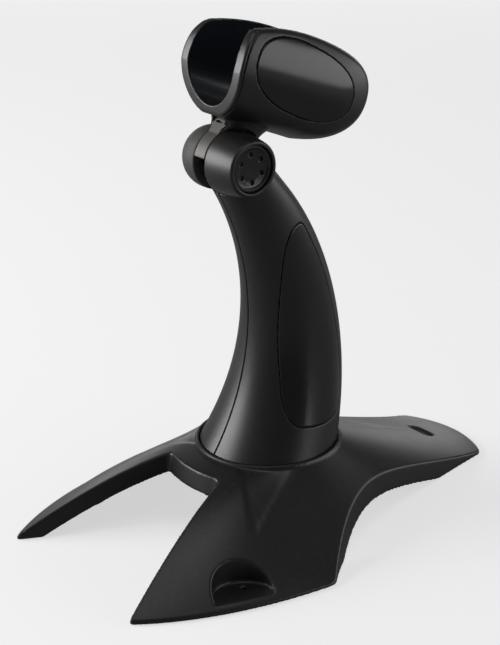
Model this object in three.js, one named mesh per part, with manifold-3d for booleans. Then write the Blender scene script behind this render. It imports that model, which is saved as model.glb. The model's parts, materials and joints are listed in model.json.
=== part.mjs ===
// Three-footed stand that holds a handheld barcode scanner for hands-free use.
// Millimetres, +Z up. -Y is the front, where the scanner's head looks out; +X is the stand's right.
// The stand is drawn about the column's foot, then moved so that the origin is the middle of the floor area.
import * as THREE from 'three';
import { mergeVertices } from 'three/addons/utils/BufferGeometryUtils.js';
import Module from 'manifold-3d';

const wasm = await Module();
wasm.setup();

// ---------- driving dimensions ----------
const gap = 0.3;                 // clearance between pieces that touch
const wall = 2.6;                // moulded wall of the shells

// base
const footHalfWidth = 88;        // half width of the oval that the feet end on
const frontReach = 159;          // front half length of that oval; the notch cuts its middle away
const rearReach = 144;           // rear half length of that oval
const frontCornerX = 51.5;       // front feet: inner corner
const sideCornerY = -28;         // front feet: outer corner
const rearCornerX = 31.8;        // rear foot: corners
const notchCornerX = 20.8;       // U notch between the front feet, at its inner end
const notchCornerY = -49.4;
const notchBulge = 4;            // how far the notch's inner end bows forward
const waistLead = 40;            // the waist leaves the front foot along this much of a diagonal
const waistWidth = 7.6;          // and is drawn to this far outside the collar
const waistY = 41;
const cornerRadius = 4;
const seatZ = 41;                // flat crown that the column stands on
const tipZ = 2.4;                // thickness of the shell's edge at the feet
const archPower = 1.55;          // crown's fall towards the front feet
const flarePower = 1.32;         // crown's fall towards the sides and the rear foot
const archedTo = -62 * Math.PI / 180;    // direction where the arch starts to turn into the flare
const flaredFrom = -12 * Math.PI / 180;
const skirt = 10.5;              // depth of the side walls
const shellLift = 0.5;           // shell's edge above the floor, on its pads
const lipHeight = 1.6;           // collar lip round the column
const lipWidth = 2;

// scoops and keyhole in the feet
const scoopX = 70.5;             // middle of the scoop's open side
const scoopY = -74;
const scoopAngle = -25 * Math.PI / 180;
const scoopHalfWidth = 15.5;
const scoopDepth = 12.5;
const scoopFloorZ = 4.4;
const footScrewRadius = 1.7;
const keyholeY = 117;
const keyholeHalfLength = 9;
const keyholeHalfWidth = 4.4;
const keyholeFloorZ = 6.6;

// pads under the feet
const padRadius = 5;
const padRecess = 0.8;           // how deep a pad sits in its post

// hinge axis
const hingeY = -29;
const hingeZ = 199.9;

// column
const columnFootHalfWidth = 36.4;
const columnNeckHalfWidth = 17;
const columnTopZ = hingeZ + 6.1;
const columnNeckZ = hingeZ - 14.9;       // above this the column keeps its neck's width
const shoulderZ = hingeZ - 18.9;         // where the back edge leaves its arc and runs straight to the barrel
const frontArc = { y: -145.2, z: 116, radius: 131 };   // hollow front edge, seen from the side
const backArc = { y: -107.8, z: 84, radius: 151 };     // rounded back edge, seen from the side
const inlayDepth = 1.5;

// hinge
const barrelRadius = 16;         // at the tongue
const barrelEndRadius = 13.9;    // at the ring
const barrelHalfLength = 23.2;
const slotHalfWidth = 4.3;
const tongueHalfWidth = 4;
const discRadius = 11.6;
const discRecess = 1.2;
const discHoleCircle = 7;        // radius that the disc's six small holes lie on
const discHoleTurn = 0.59;       // angle of the first of them
const discHoleRadius = 1.3;
const boltRadius = 3;
const boltHeadRadius = 5.5;
const washerThickness = 0.6;

// cradle, in its own frame: s along the trough towards the rear, h up from the hinge, both from the hinge
const cradleTilt = 22 * Math.PI / 180;   // trough falls to the rear by this much
const troughHalfWidth = 17.6;
const cradleHalfWidth = 23.6;
const cradleBulge = 1.4;         // extra half width half way along
const bellyH = 18;               // underside of the cradle
const troughH = 23.2;            // bottom of the trough
const sideH = 43;                // height of the widest part
const linerWall = 2;
const rimDepth = 1.8;            // thickness of the liner's front rim
const neckClearance = 0.6;       // between the neck's underside and the barrel

const neck = { top: bellyH + 4, swingHalfWidth: 10.5 };
const dome = {
  rim: slotHalfWidth, seat: 9.2, straight: 8.6, end: 23.4, bossRadius: 11.5, webFront: -3, webBack: 10,
};

const colours = {
  shell: { color: 0x1b1c1e, roughness: 0.45, metalness: 0 },
  gloss: { color: 0x0c0d0f, roughness: 0.12, metalness: 0 },
  tongue: { color: 0x34322f, roughness: 0.5, metalness: 0 },
  dome: { color: 0x232325, roughness: 0.8, metalness: 0 },
  rubber: { color: 0x111111, roughness: 0.9, metalness: 0 },
  steel: { color: 0x9a9ca0, roughness: 0.3, metalness: 1 },
};

// ---------- helpers ----------
function solid(geometry) {
  const plain = geometry.clone();
  plain.deleteAttribute('normal');
  plain.deleteAttribute('uv');
  const merged = mergeVertices(plain, 1e-4);
  return new wasm.Manifold(new wasm.Mesh({
    numProp: 3,
    vertProperties: new Float32Array(merged.attributes.position.array),
    triVerts: new Uint32Array(merged.index.array),
  }));
}

function geometryOf(body) {
  const mesh = body.getMesh();
  const geometry = new THREE.BufferGeometry();
  geometry.setAttribute('position', new THREE.BufferAttribute(mesh.vertProperties, 3));
  geometry.setIndex(new THREE.BufferAttribute(mesh.triVerts, 1));
  geometry.computeVertexNormals();
  return geometry;
}

function box(low, high) {
  const geometry = new THREE.BoxGeometry(high[0] - low[0], high[1] - low[1], high[2] - low[2]);
  geometry.translate((low[0] + high[0]) / 2, (low[1] + high[1]) / 2, (low[2] + high[2]) / 2);
  return solid(geometry);
}

// A prism of a closed outline. axis 'z': outline is (x, y). axis 'x': outline is (y, z).
function prism(points, from, to, axis = 'z') {
  const shape = new THREE.Shape(points);
  const geometry = new THREE.ExtrudeGeometry(shape, { depth: to - from, bevelEnabled: false });
  geometry.translate(0, 0, from);
  if (axis === 'x') {
    geometry.applyMatrix4(new THREE.Matrix4().set(0, 0, 1, 0, 1, 0, 0, 0, 0, 1, 0, 0, 0, 0, 0, 1));
  }
  return solid(geometry);
}

// A solid of revolution; profile is [radius, distance along the axis] pairs that start and end on the axis.
function turned(profile, axis, centre, segments = 32) {
  const geometry = new THREE.LatheGeometry(profile.map(([r, d]) => new THREE.Vector2(r, d)), segments);
  if (axis === 'x') geometry.rotateZ(-Math.PI / 2);
  if (axis === 'z') geometry.rotateX(Math.PI / 2);
  geometry.translate(...centre);
  return solid(geometry);
}

function cylinder(radius, from, to, axis, centre, segments = 16) {
  return turned([[0, from], [radius, from], [radius, to], [0, to]], axis, centre, segments);
}

// A closed body through rings that all have the same number of points; each end is closed by a fan.
function loft(rings) {
  const count = rings[0].length;
  const positions = [];
  rings.forEach((ring) => ring.forEach((p) => positions.push(p.x, p.y, p.z)));
  const index = [];
  for (let r = 0; r < rings.length - 1; r += 1) {
    for (let i = 0; i < count; i += 1) {
      const a = r * count + i;
      const b = r * count + (i + 1) % count;
      index.push(a, b, b + count, a, b + count, a + count);
    }
  }
  [rings[0], rings[rings.length - 1]].forEach((ring, end) => {
    const middle = ring.reduce((sum, p) => sum.add(p), new THREE.Vector3()).divideScalar(count);
    const hub = positions.length / 3;
    positions.push(middle.x, middle.y, middle.z);
    const start = end * (rings.length - 1) * count;
    for (let i = 0; i < count; i += 1) {
      const a = start + i;
      const b = start + (i + 1) % count;
      if (end === 0) index.push(hub, b, a);
      else index.push(hub, a, b);
    }
  });
  const geometry = new THREE.BufferGeometry();
  geometry.setAttribute('position', new THREE.Float32BufferAttribute(positions, 3));
  geometry.setIndex(index);
  return solid(geometry);
}

function distanceToOutline(point, points) {
  return Math.min(...points.map((a, i) => {
    const b = points[(i + 1) % points.length];
    const nearest = new THREE.Line3(new THREE.Vector3(a.x, a.y, 0), new THREE.Vector3(b.x, b.y, 0))
      .closestPointToPoint(new THREE.Vector3(point.x, point.y, 0), true, new THREE.Vector3());
    return Math.hypot(nearest.x - point.x, nearest.y - point.y);
  }));
}

// Moves a closed outline's points along their normals; a positive distance makes it larger.
// Points that a tight corner would fold over are left out.
function offsetOutline(points, distance) {
  const count = points.length;
  const turn = Math.sign(THREE.ShapeUtils.area(points));
  const moved = points.map((p, i) => {
    const before = points[(i + count - 1) % count];
    const after = points[(i + 1) % count];
    const a = p.clone().sub(before).normalize();
    const b = after.clone().sub(p).normalize();
    const normal = new THREE.Vector2(a.y + b.y, -(a.x + b.x)).normalize().multiplyScalar(turn);
    const stretch = Math.max(0.5, normal.dot(new THREE.Vector2(a.y, -a.x).multiplyScalar(turn)));
    return p.clone().addScaledVector(normal, distance / stretch);
  });
  return moved.filter((p) => distanceToOutline(p, points) > Math.abs(distance) * 0.96 - 1e-6);
}

function smoothStep(from, to, value) {
  const t = Math.min(1, Math.max(0, (value - from) / (to - from)));
  return t * t * (3 - 2 * t);
}

function part(name, body, look) {
  const mesh = new THREE.Mesh(geometryOf(body), new THREE.MeshStandardMaterial(look));
  mesh.name = name;
  return mesh;
}

// ---------- column outline, shared by the column, its inlays and the base's collar ----------
function arcY(arc, z) {
  return arc.y + Math.sqrt(Math.max(0, arc.radius ** 2 - (z - arc.z) ** 2));
}

function columnHalfWidth(z) {
  const up = Math.max(0, (columnNeckZ - z) / (columnNeckZ - seatZ));
  return columnNeckHalfWidth + (columnFootHalfWidth - columnNeckHalfWidth) * up ** 1.9;
}

// Back of the shoulder: the straight line from the back edge that just touches the barrel.
function shoulderY(z) {
  const across = arcY(backArc, shoulderZ) - hingeY;
  const down = shoulderZ - hingeZ;
  const touch = Math.atan2(down, across) + Math.acos((barrelRadius - gap) / Math.hypot(across, down));
  return hingeY + (barrelRadius - gap - (z - hingeZ) * Math.sin(touch)) / Math.cos(touch);
}

function columnRing(z, inset, count = 28) {
  const front = Math.max(arcY(frontArc, z), hingeY - barrelRadius * 0.66) + inset;
  const back = (z > shoulderZ ? shoulderY(z) : arcY(backArc, z)) - inset;
  const halfWidth = columnHalfWidth(z) - inset;
  const ring = [];
  for (let i = 0; i < count; i += 1) {
    const angle = 2 * Math.PI * i / count;
    const y = (front + back) / 2 + (back - front) / 2 * Math.sin(angle);
    ring.push(new THREE.Vector3(halfWidth * Math.cos(angle), y, z));
  }
  return ring;
}

function columnBody(inset, fromZ, toZ, steps = 10) {
  const rings = [];
  for (let i = 0; i <= steps; i += 1) rings.push(columnRing(fromZ + (toZ - fromZ) * i / steps, inset));
  return loft(rings);
}

// ---------- base ----------
// Collar ellipse round the column's foot, grown by a distance.
const footFront = arcY(frontArc, seatZ);
const footBack = arcY(backArc, seatZ + lipHeight);
const collar = {
  y: (footFront + footBack) / 2,
  halfX: columnFootHalfWidth,
  halfY: (footBack - footFront) / 2,
};

function collarOutline(grow, count = 28) {
  const points = [];
  for (let i = 0; i < count; i += 1) {
    const angle = 2 * Math.PI * i / count;
    const x = (collar.halfX + grow) * Math.cos(angle);
    points.push(new THREE.Vector2(x, collar.y + (collar.halfY + grow) * Math.sin(angle)));
  }
  return points;
}

function footOvalX(y) {
  const reach = y < 0 ? frontReach : rearReach;
  return footHalfWidth * Math.sqrt(Math.max(0, 1 - (y / reach) ** 2));
}

function footOvalY(x, reach) {
  return reach * Math.sqrt(1 - (x / footHalfWidth) ** 2);
}

// Right half of the outline, from the notch's middle round to the rear foot's middle.
function baseOutline() {
  const half = [];
  const notch = new THREE.Vector2(notchCornerX, notchCornerY);
  const tip = new THREE.Vector2(frontCornerX, -footOvalY(frontCornerX, frontReach));
  const side = new THREE.Vector2(footOvalX(sideCornerY), sideCornerY);
  const rear = new THREE.Vector2(rearCornerX, footOvalY(rearCornerX, rearReach));
  const path = [];
  for (let i = 0; i <= 4; i += 1) {
    const x = (notchCornerX - cornerRadius) * i / 4;
    path.push(new THREE.Vector2(x, notchCornerY - notchBulge * (1 - (x / notchCornerX) ** 2)));
  }
  roundCorner(path, notch, tip, cornerRadius);
  path.push(notch.clone().lerp(tip, 0.4), notch.clone().lerp(tip, 0.75));
  roundCorner(path, tip, new THREE.Vector2(footOvalX(tip.y + cornerRadius * 2), tip.y + cornerRadius * 2), 3);
  for (let i = 1; i <= 7; i += 1) {
    const y = tip.y + (side.y - tip.y) * (0.1 + 0.8 * i / 8);
    path.push(new THREE.Vector2(footOvalX(y), y));
  }
  const waist = new THREE.CubicBezierCurve(
    side,
    new THREE.Vector2(side.x - waistLead, side.y + waistLead),
    new THREE.Vector2(collar.halfX + waistWidth, waistY),
    rear,
  );
  roundCorner(path, side, waist.getPoint(0.06), 3);
  for (let i = 1; i <= 15; i += 1) path.push(waist.getPoint(0.03 + 0.94 * i / 16));
  roundCorner(path, rear, new THREE.Vector2(rear.x - 8, footOvalY(rear.x - 8, rearReach)), 3);
  for (let i = 1; i <= 4; i += 1) {
    const x = (rear.x - 6) * (1 - i / 4);
    path.push(new THREE.Vector2(x, footOvalY(x, rearReach)));
  }
  half.push(...path.filter((p, i) => i === 0 || p.distanceTo(path[i - 1]) > 0.6));
  const mirrored = half.slice(1, -1).reverse().map((p) => new THREE.Vector2(-p.x, p.y));
  return [...half, ...mirrored];
}

// Adds a round corner at a point, between the path's last point and the next one.
function roundCorner(path, corner, next, radius) {
  const back = path[path.length - 1].clone().sub(corner).normalize();
  const on = next.clone().sub(corner).normalize();
  const from = corner.clone().addScaledVector(back, radius);
  const to = corner.clone().addScaledVector(on, radius);
  const bend = new THREE.QuadraticBezierCurve(from, corner, to);
  for (let i = 0; i <= 3; i += 1) path.push(bend.getPoint(i / 3));
}

// Height of the crown at a point: flat inside the collar, then falling to the feet. It is arched towards
// the front feet and flares out like a trumpet at the sides and towards the rear foot.
function crownHeight(x, y) {
  const angle = Math.atan2(y, Math.abs(x));
  const sideShare = Math.cos(angle) / (collar.halfX + lipWidth);
  const endShare = Math.sin(angle) / (collar.halfY + lipWidth);
  const inner = 1 / Math.hypot(sideShare, endShare);
  const reach = y < 0 ? frontReach : rearReach;
  const outer = 1 / Math.hypot(Math.cos(angle) / footHalfWidth, Math.sin(angle) / reach);
  const along = (Math.hypot(x, y) - inner) / (outer - inner);
  if (along <= 0) return seatZ;
  const arched = 1 - along ** archPower;
  const flared = Math.sign(1 - along) * Math.abs(1 - along) ** flarePower;
  const sideways = smoothStep(archedTo, flaredFrom, angle);
  return tipZ + (seatZ - tipZ) * (arched + (flared - arched) * sideways);
}

// Everything under the crown, lowered by a distance, down to below the floor.
function underCrown(lower, lanes = 36, rings = 8) {
  const limit = 1.12;
  const positions = [0, 0, seatZ - lower, 0, 0, -60];
  const index = [];
  for (let r = 1; r <= rings; r += 1) {
    for (let i = 0; i < lanes; i += 1) {
      const angle = 2 * Math.PI * i / lanes;
      const reach = Math.sin(angle) < 0 ? frontReach : rearReach;
      const share = limit * (0.22 + 0.78 * (r - 1) / (rings - 1));
      const x = footHalfWidth * Math.cos(angle) * share;
      const y = reach * Math.sin(angle) * share;
      positions.push(x, y, crownHeight(x, y) - lower);
    }
  }
  const rim = 2 + (rings - 1) * lanes;
  const foot = 2 + rings * lanes;
  for (let i = 0; i < lanes; i += 1) {
    positions.push(positions[3 * (rim + i)], positions[3 * (rim + i) + 1], -60);
  }
  for (let i = 0; i < lanes; i += 1) {
    const j = (i + 1) % lanes;
    index.push(0, 2 + i, 2 + j);
    for (let r = 0; r < rings - 1; r += 1) {
      const a = 2 + r * lanes + i;
      const b = 2 + r * lanes + j;
      index.push(a, a + lanes, b + lanes, a, b + lanes, b);
    }
    index.push(rim + i, foot + i, foot + j, rim + i, foot + j, rim + j);
    index.push(1, foot + j, foot + i);
  }
  const geometry = new THREE.BufferGeometry();
  geometry.setAttribute('position', new THREE.Float32BufferAttribute(positions, 3));
  geometry.setIndex(index);
  return solid(geometry);
}

// Plan of a front foot's scoop: half an oval that is open towards the foot's end.
function scoopPlan(side, grow) {
  const out = new THREE.Vector2(Math.cos(scoopAngle), Math.sin(scoopAngle));
  const across = new THREE.Vector2(-out.y, out.x);
  const middle = new THREE.Vector2(scoopX, scoopY);
  const points = [];
  for (let i = 0; i <= 12; i += 1) {
    const angle = Math.PI * i / 12;
    const along = across.clone().multiplyScalar((scoopHalfWidth + grow) * Math.cos(angle));
    points.push(middle.clone().add(along).addScaledVector(out, -(scoopDepth + grow) * Math.sin(angle)));
  }
  points.push(points[12].clone().addScaledVector(out, 24), points[0].clone().addScaledVector(out, 24));
  return points.map((p) => new THREE.Vector2(side * p.x, p.y));
}

function keyholePlan(grow) {
  const points = [];
  const straight = keyholeHalfLength - keyholeHalfWidth;
  for (let i = 0; i <= 16; i += 1) {
    const angle = -Math.PI / 2 + Math.PI * (i % 9) / 8 + (i > 8 ? Math.PI : 0);
    const end = i > 8 ? -straight : straight;
    const radius = keyholeHalfWidth + grow;
    points.push(new THREE.Vector2(end + radius * Math.cos(angle), keyholeY + radius * Math.sin(angle)));
  }
  return points;
}

const padSpots = [
  [frontCornerX + 4, -footOvalY(frontCornerX, frontReach) + 19],
  [footHalfWidth - 17, sideCornerY + 0.5],
  [rearCornerX - 12, rearReach - 22],
].flatMap(([x, y]) => [[x, y], [-x, y]]);

const screwSpots = [[20, -15], [20, 17]].flatMap(([x, y]) => [[x, y], [-x, y]]);
const baseScrew = { radius: 1.9, headRadius: 3.6, headHeight: 2, top: seatZ + 13 };
const plate = { top: seatZ - wall - gap, thickness: 2, shrink: 10 };

function baseShell() {
  const outline = baseOutline();
  const crown = underCrown(0);
  const cavity = underCrown(wall).intersect(prism(offsetOutline(outline, -wall), -70, 60));
  let shell = crown.intersect(prism(outline, shellLift, 60));
  const posts = [];
  padSpots.forEach(([x, y]) => posts.push(cylinder(padRadius + 1.6, shellLift, 40, 'z', [x, y, 0])));
  [1, -1].forEach((side) => posts.push(prism(scoopPlan(side, 1.8), scoopFloorZ - 2, 40)));
  posts.push(prism(keyholePlan(1.8), keyholeFloorZ - 2, 40));
  const keep = posts.reduce((sum, post) => sum.add(post)).intersect(underCrown(wall - 0.4));
  shell = shell.subtract(cavity.subtract(keep));
  shell = shell.subtract(underCrown(skirt).subtract(keep));
  shell = shell.add(prism(collarOutline(lipWidth), seatZ - 1, seatZ + lipHeight)
    .subtract(prism(collarOutline(gap), seatZ - 0.5, seatZ + lipHeight + 1)));
  [1, -1].forEach((side) => {
    shell = shell.subtract(prism(scoopPlan(side, 0), scoopFloorZ, 60));
    const screw = [side * (scoopX - 5.5), scoopY + 4.4, 0];
    shell = shell.subtract(cylinder(footScrewRadius, -1, 60, 'z', screw, 12));
  });
  shell = shell.subtract(prism(keyholePlan(0), keyholeFloorZ, 60));
  shell = shell.subtract(cylinder(footScrewRadius, -1, 60, 'z', [-1, keyholeY - 2, 0], 12));
  padSpots.forEach(([x, y]) => {
    shell = shell.subtract(cylinder(padRadius + gap, -1, shellLift + padRecess, 'z', [x, y, 0]));
  });
  screwSpots.forEach(([x, y]) => {
    shell = shell.subtract(cylinder(baseScrew.radius + gap, 0, 60, 'z', [x, y, 0], 10));
  });
  return shell;
}

function footPad([x, y]) {
  return cylinder(padRadius, 0, shellLift + padRecess - gap, 'z', [x, y, 0]);
}

function clampPlate() {
  let body = prism(collarOutline(-plate.shrink, 40), plate.top - plate.thickness, plate.top);
  screwSpots.forEach(([x, y]) => {
    body = body.subtract(cylinder(baseScrew.radius + gap, 0, 60, 'z', [x, y, 0], 10));
  });
  return body;
}

function screwAlong(axis, radius, headRadius, headHeight, length, centre, slotWidth = 1) {
  const body = turned([[0, 0], [headRadius, 0], [headRadius, headHeight], [radius, headHeight],
    [radius, headHeight + length - radius], [0, headHeight + length]], axis, centre, 12);
  const half = slotWidth / 2;
  const [x, y, z] = centre;
  const cross = axis === 'z'
    ? box([x - half, y - headRadius / 2, z - 1], [x + half, y + headRadius / 2, z + headHeight / 2])
    : box([x - 1, y - half, z - headRadius / 2], [x + headHeight / 2, y + half, z + headRadius / 2]);
  return body.subtract(cross);
}

function baseScrewBody([x, y]) {
  const headBottom = plate.top - plate.thickness - gap - baseScrew.headHeight;
  const length = baseScrew.top - 1 - headBottom - baseScrew.headHeight;
  return screwAlong('z', baseScrew.radius, baseScrew.headRadius, baseScrew.headHeight, length, [x, y, headBottom]);
}

// ---------- column ----------
const inlayFoot = 59;            // lowest and highest points of the side inlay
const inlayHead = 164;

// Leaf outline of the side inlay, in (y, z).
function inlayOutline(grow) {
  const leaf = new THREE.Shape();
  leaf.moveTo(6, inlayHead);
  leaf.quadraticCurveTo(-2.6, inlayHead, arcY(frontArc, 148) + 13.9, 148);
  leaf.quadraticCurveTo(arcY(frontArc, 118) + 8.3, 118, arcY(frontArc, 83) + 10, 83);
  leaf.quadraticCurveTo(-12.5, inlayFoot, -2, inlayFoot - 0.5);
  leaf.quadraticCurveTo(9, inlayFoot - 2.5, 19, inlayFoot - 1);
  leaf.quadraticCurveTo(29, inlayFoot, 30, 82);
  leaf.quadraticCurveTo(arcY(backArc, 118) - 8, 124, 12.5, 157.5);
  leaf.quadraticCurveTo(9.5, inlayHead, 6, inlayHead);
  const points = leaf.getPoints(4);
  points.pop();
  return offsetOutline(points, grow);
}

const joinScrewHeights = [80, 114, 146];
const joinScrew = { radius: 1.6, headRadius: 3.1, headHeight: 2, length: 15, headX: 9 };

function joinScrewSpot(z) {
  return [(arcY(frontArc, z) + arcY(backArc, z)) / 2, z];
}

// Round barrel on the hinge axis, crowned from the tongue towards its right end.
function barrel() {
  const profile = [[0, 0]];
  for (let i = 0; i <= 4; i += 1) {
    const x = barrelHalfLength * i / 4;
    const share = Math.max(0, (x - slotHalfWidth) / (barrelHalfLength - slotHalfWidth));
    profile.push([barrelRadius - (barrelRadius - barrelEndRadius) * share ** 1.8, x]);
  }
  profile.push([0, barrelHalfLength]);
  return turned(profile, 'x', [0, hingeY, hingeZ], 28);
}

// Room in the top of the column for the cradle's tongue and neck as they swing.
function swingRoom() {
  const slot = cylinder(barrelRadius + 0.8, -slotHalfWidth, slotHalfWidth, 'x', [0, hingeY, hingeZ], 28);
  const back = box([-neck.swingHalfWidth, hingeY, hingeZ + 1], [neck.swingHalfWidth, hingeY + 60, hingeZ + 60]);
  return slot.add(back.subtract(cylinder(barrelRadius, -30, 30, 'x', [0, hingeY, hingeZ], 28)));
}

function columnHalf(side) {
  const keepHalf = side > 0 ? box([gap / 2, -90, 0], [60, 90, 240]) : box([-60, -90, 0], [-gap / 2, 90, 240]);
  const foot = seatZ + gap;
  let body = columnBody(0, foot, columnTopZ).subtract(columnBody(wall, foot - 1, shoulderZ - 6));
  const inside = columnBody(0.5, foot, columnTopZ);
  const bosses = [];
  screwSpots.forEach(([x, y]) => {
    bosses.push(cylinder(5, foot, foot + 16, 'z', [x, y, 0], 12));
    bosses.push(box([Math.min(x, 2.2 * x), y - 1.2, foot], [Math.max(x, 2.2 * x), y + 1.2, foot + 16]));
  });
  joinScrewHeights.forEach((z) => {
    const [y] = joinScrewSpot(z);
    bosses.push(cylinder(joinScrew.headRadius + 2.4, -60, 60, 'x', [0, y, z], 12));
  });
  body = body.add(bosses.reduce((sum, boss) => sum.add(boss)).intersect(inside));
  body = body.subtract(insetBand(side, gap));
  if (side > 0) body = body.add(barrel());
  else body = body.subtract(domeBody(gap)).add(domeBoss(0));
  body = body.intersect(keepHalf).subtract(swingRoom());
  screwSpots.forEach(([x, y]) => {
    body = body.subtract(cylinder(baseScrew.radius + gap / 2, 0, baseScrew.top, 'z', [x, y, 0], 10));
  });
  joinScrewHeights.forEach((z) => {
    const [y] = joinScrewSpot(z);
    const head = joinScrew.headX;
    const tip = head - joinScrew.length - 1;
    body = body.subtract(cylinder(joinScrew.radius + gap / 2, tip, 60, 'x', [0, y, z], 10));
    if (side > 0) {
      body = body.subtract(cylinder(joinScrew.headRadius + gap, head, 60, 'x', [0, y, z], 10));
    }
  });
  return body.subtract(pivotRoom());
}

// Skin of the column's side inside the inlay's outline; grow adds clearance all round it.
function insetBand(side, grow) {
  const skin = columnBody(-grow, 46, 180).subtract(columnBody(inlayDepth + grow, 45, 181));
  return skin.intersect(prism(inlayOutline(grow), side > 0 ? 2 : -60, side > 0 ? 60 : -2, 'x'));
}

function joinScrewBody(z) {
  const [y] = joinScrewSpot(z);
  const body = screwAlong('x', joinScrew.radius, joinScrew.headRadius, joinScrew.headHeight, joinScrew.length,
    [0, 0, 0]);
  return body.mirror([1, 0, 0]).translate([joinScrew.headX + joinScrew.headHeight + gap, y, z]);
}

// ---------- hinge pieces ----------
const bolt = { headX: 13.5, headHeight: 3.4, tipX: -14.5, nutX: -13.6, nutHeight: 4 };

// Bore for the bolt, pocket for its head and the disc, and pocket for the nut.
function pivotRoom() {
  const at = [0, hingeY, hingeZ];
  return cylinder(boltRadius + gap, -30, 30, 'x', at, 16)
    .add(cylinder(boltHeadRadius + gap, bolt.headX - gap, 30, 'x', at, 16))
    .add(cylinder(discRadius + gap, barrelHalfLength - discRecess - 2.6 - gap, 30, 'x', at, 28));
}

// Speckled cap over the barrel's left end: a short straight part and then a round end.
function domeBody(grow) {
  const radius = barrelRadius - 0.1 + grow;
  const profile = [[0, dome.rim - grow], [radius, dome.rim - grow]];
  const steps = 6;
  for (let i = 0; i <= steps; i += 1) {
    const angle = Math.PI / 2 * i / steps;
    const out = dome.straight + (dome.end + grow - dome.straight) * Math.sin(angle);
    profile.push([i === steps ? 0 : radius * Math.cos(angle), out]);
  }
  return turned(profile, 'x', [0, 0, 0], 32).mirror([1, 0, 0]).translate([0, hingeY, hingeZ]);
}

// Round boss inside the dome, with the web that carries it on the column's left half.
function domeBoss(grow) {
  const round = cylinder(dome.bossRadius + grow, -dome.seat - grow, 0, 'x', [0, hingeY, hingeZ], 28);
  const low = [-dome.seat - grow, hingeY - dome.webFront - grow, hingeZ - barrelRadius - 4];
  return round.add(box(low, [0, hingeY + dome.webBack + grow, hingeZ]));
}

function hingeDome() {
  const at = [0, hingeY, hingeZ];
  return domeBody(0)
    .subtract(domeBoss(gap))
    .subtract(cylinder(6.6, bolt.nutX - 2.4, 0, 'x', at, 20));
}

// Dished disc with six small holes, in the ring at the barrel's right end.
function hingeDisc() {
  const out = barrelHalfLength - discRecess;
  const profile = [[0, out - 2.6], [discRadius, out - 2.6], [discRadius, out], [discRadius - 1.6, out],
    [discRadius - 2.4, out - 0.7], [6.4, out - 1.2], [0, out - 1.5]];
  let body = turned(profile, 'x', [0, hingeY, hingeZ], 28);
  for (let i = 0; i < 6; i += 1) {
    const angle = Math.PI * i / 3 + discHoleTurn;
    const at = [0, hingeY + discHoleCircle * Math.cos(angle), hingeZ + discHoleCircle * Math.sin(angle)];
    body = body.subtract(cylinder(discHoleRadius, out - 2.3, out + 1, 'x', at, 10));
  }
  return body;
}

function pivotBolt() {
  const profile = [[0, bolt.tipX], [boltRadius, bolt.tipX + 0.6], [boltRadius, bolt.headX],
    [boltHeadRadius, bolt.headX], [boltHeadRadius, bolt.headX + bolt.headHeight], [2, bolt.headX + bolt.headHeight],
    [2, bolt.headX + 1.4], [0, bolt.headX + 1.4]];
  return turned(profile, 'x', [0, hingeY, hingeZ], 24);
}

function pivotNut() {
  const hexagon = cylinder(5.4, bolt.nutX, bolt.nutX + bolt.nutHeight, 'x', [0, hingeY, hingeZ], 6);
  return hexagon.subtract(cylinder(boltRadius + gap / 3, -30, 0, 'x', [0, hingeY, hingeZ], 24));
}

function frictionWasher(side) {
  const near = tongueHalfWidth - washerThickness;
  const from = side > 0 ? near + gap / 3 : -near - washerThickness - gap / 3;
  const at = [0, hingeY, hingeZ];
  return cylinder(8, from, from + washerThickness, 'x', at, 20)
    .subtract(cylinder(boltRadius + gap, -10, 10, 'x', at, 16));
}

// ---------- cradle, drawn about the hinge in its own frame: x across, s along, h up ----------
// Front edge of the cradle seen from the side, in (s, h), from the belly up to below the top corner.
function frontEdge(shape) {
  shape.moveTo(-14, bellyH - 6);
  shape.quadraticCurveTo(-22, bellyH + 10, -25.6, sideH - 2);
  shape.quadraticCurveTo(-27, sideH + 10, -22.5, 60.5);
  return shape;
}

// Side view of the cradle's body.
function cradleSide() {
  const side = frontEdge(new THREE.Shape());
  side.quadraticCurveTo(-20.5, 63, -17, 63.8);
  side.quadraticCurveTo(2, 70.2, 27, 69.5);
  side.bezierCurveTo(50, 68.7, 62, 65.4, 64, 54);
  side.bezierCurveTo(66, 41, 58, 24.5, 38, 19.6);
  side.quadraticCurveTo(30, 17.6, 24, bellyH - 6);
  return side.getPoints(5);
}

// Cross sections of the outer body and of the trough: round below, leaning in above the widest part.
function cradleSection(s, halfWidth, bottom, upper, top, count = 22) {
  const ring = [];
  for (let i = 0; i <= count; i += 1) {
    const angle = -Math.PI / 2 + Math.PI * 2 * i / (count + 1);
    const up = Math.sin(angle);
    const h = up < 0 ? sideH + (sideH - bottom) * up : Math.min(top, sideH + upper * up);
    ring.push(new THREE.Vector3(halfWidth * Math.cos(angle), s, h));
  }
  return ring.reverse();
}

// Outer body of the cradle, drawn in by a distance; it swells half way along and closes towards the rear.
function cradleBody(inset) {
  const rings = [];
  for (let i = 0; i <= 8; i += 1) {
    const s = -32 + 102 * i / 8;
    const bulge = cradleBulge * Math.max(0, 1 - ((s - 20) / 45) ** 2);
    const close = 3 * Math.max(0, (s - 40) / 26) ** 2;
    rings.push(cradleSection(s, cradleHalfWidth + bulge - close - inset, bellyH + inset, 36 - inset, 200));
  }
  return loft(rings);
}

function trough(grow) {
  const rings = [];
  for (let i = 0; i <= 4; i += 1) {
    rings.push(cradleSection(-60 + 150 * i / 4, troughHalfWidth + grow, troughH - grow, 40, 200));
  }
  const open = loft(rings);
  const above = box([-troughHalfWidth * 0.62 - grow, -60, sideH], [troughHalfWidth * 0.62 + grow, 90, 120]);
  return open.add(above);
}

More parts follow.
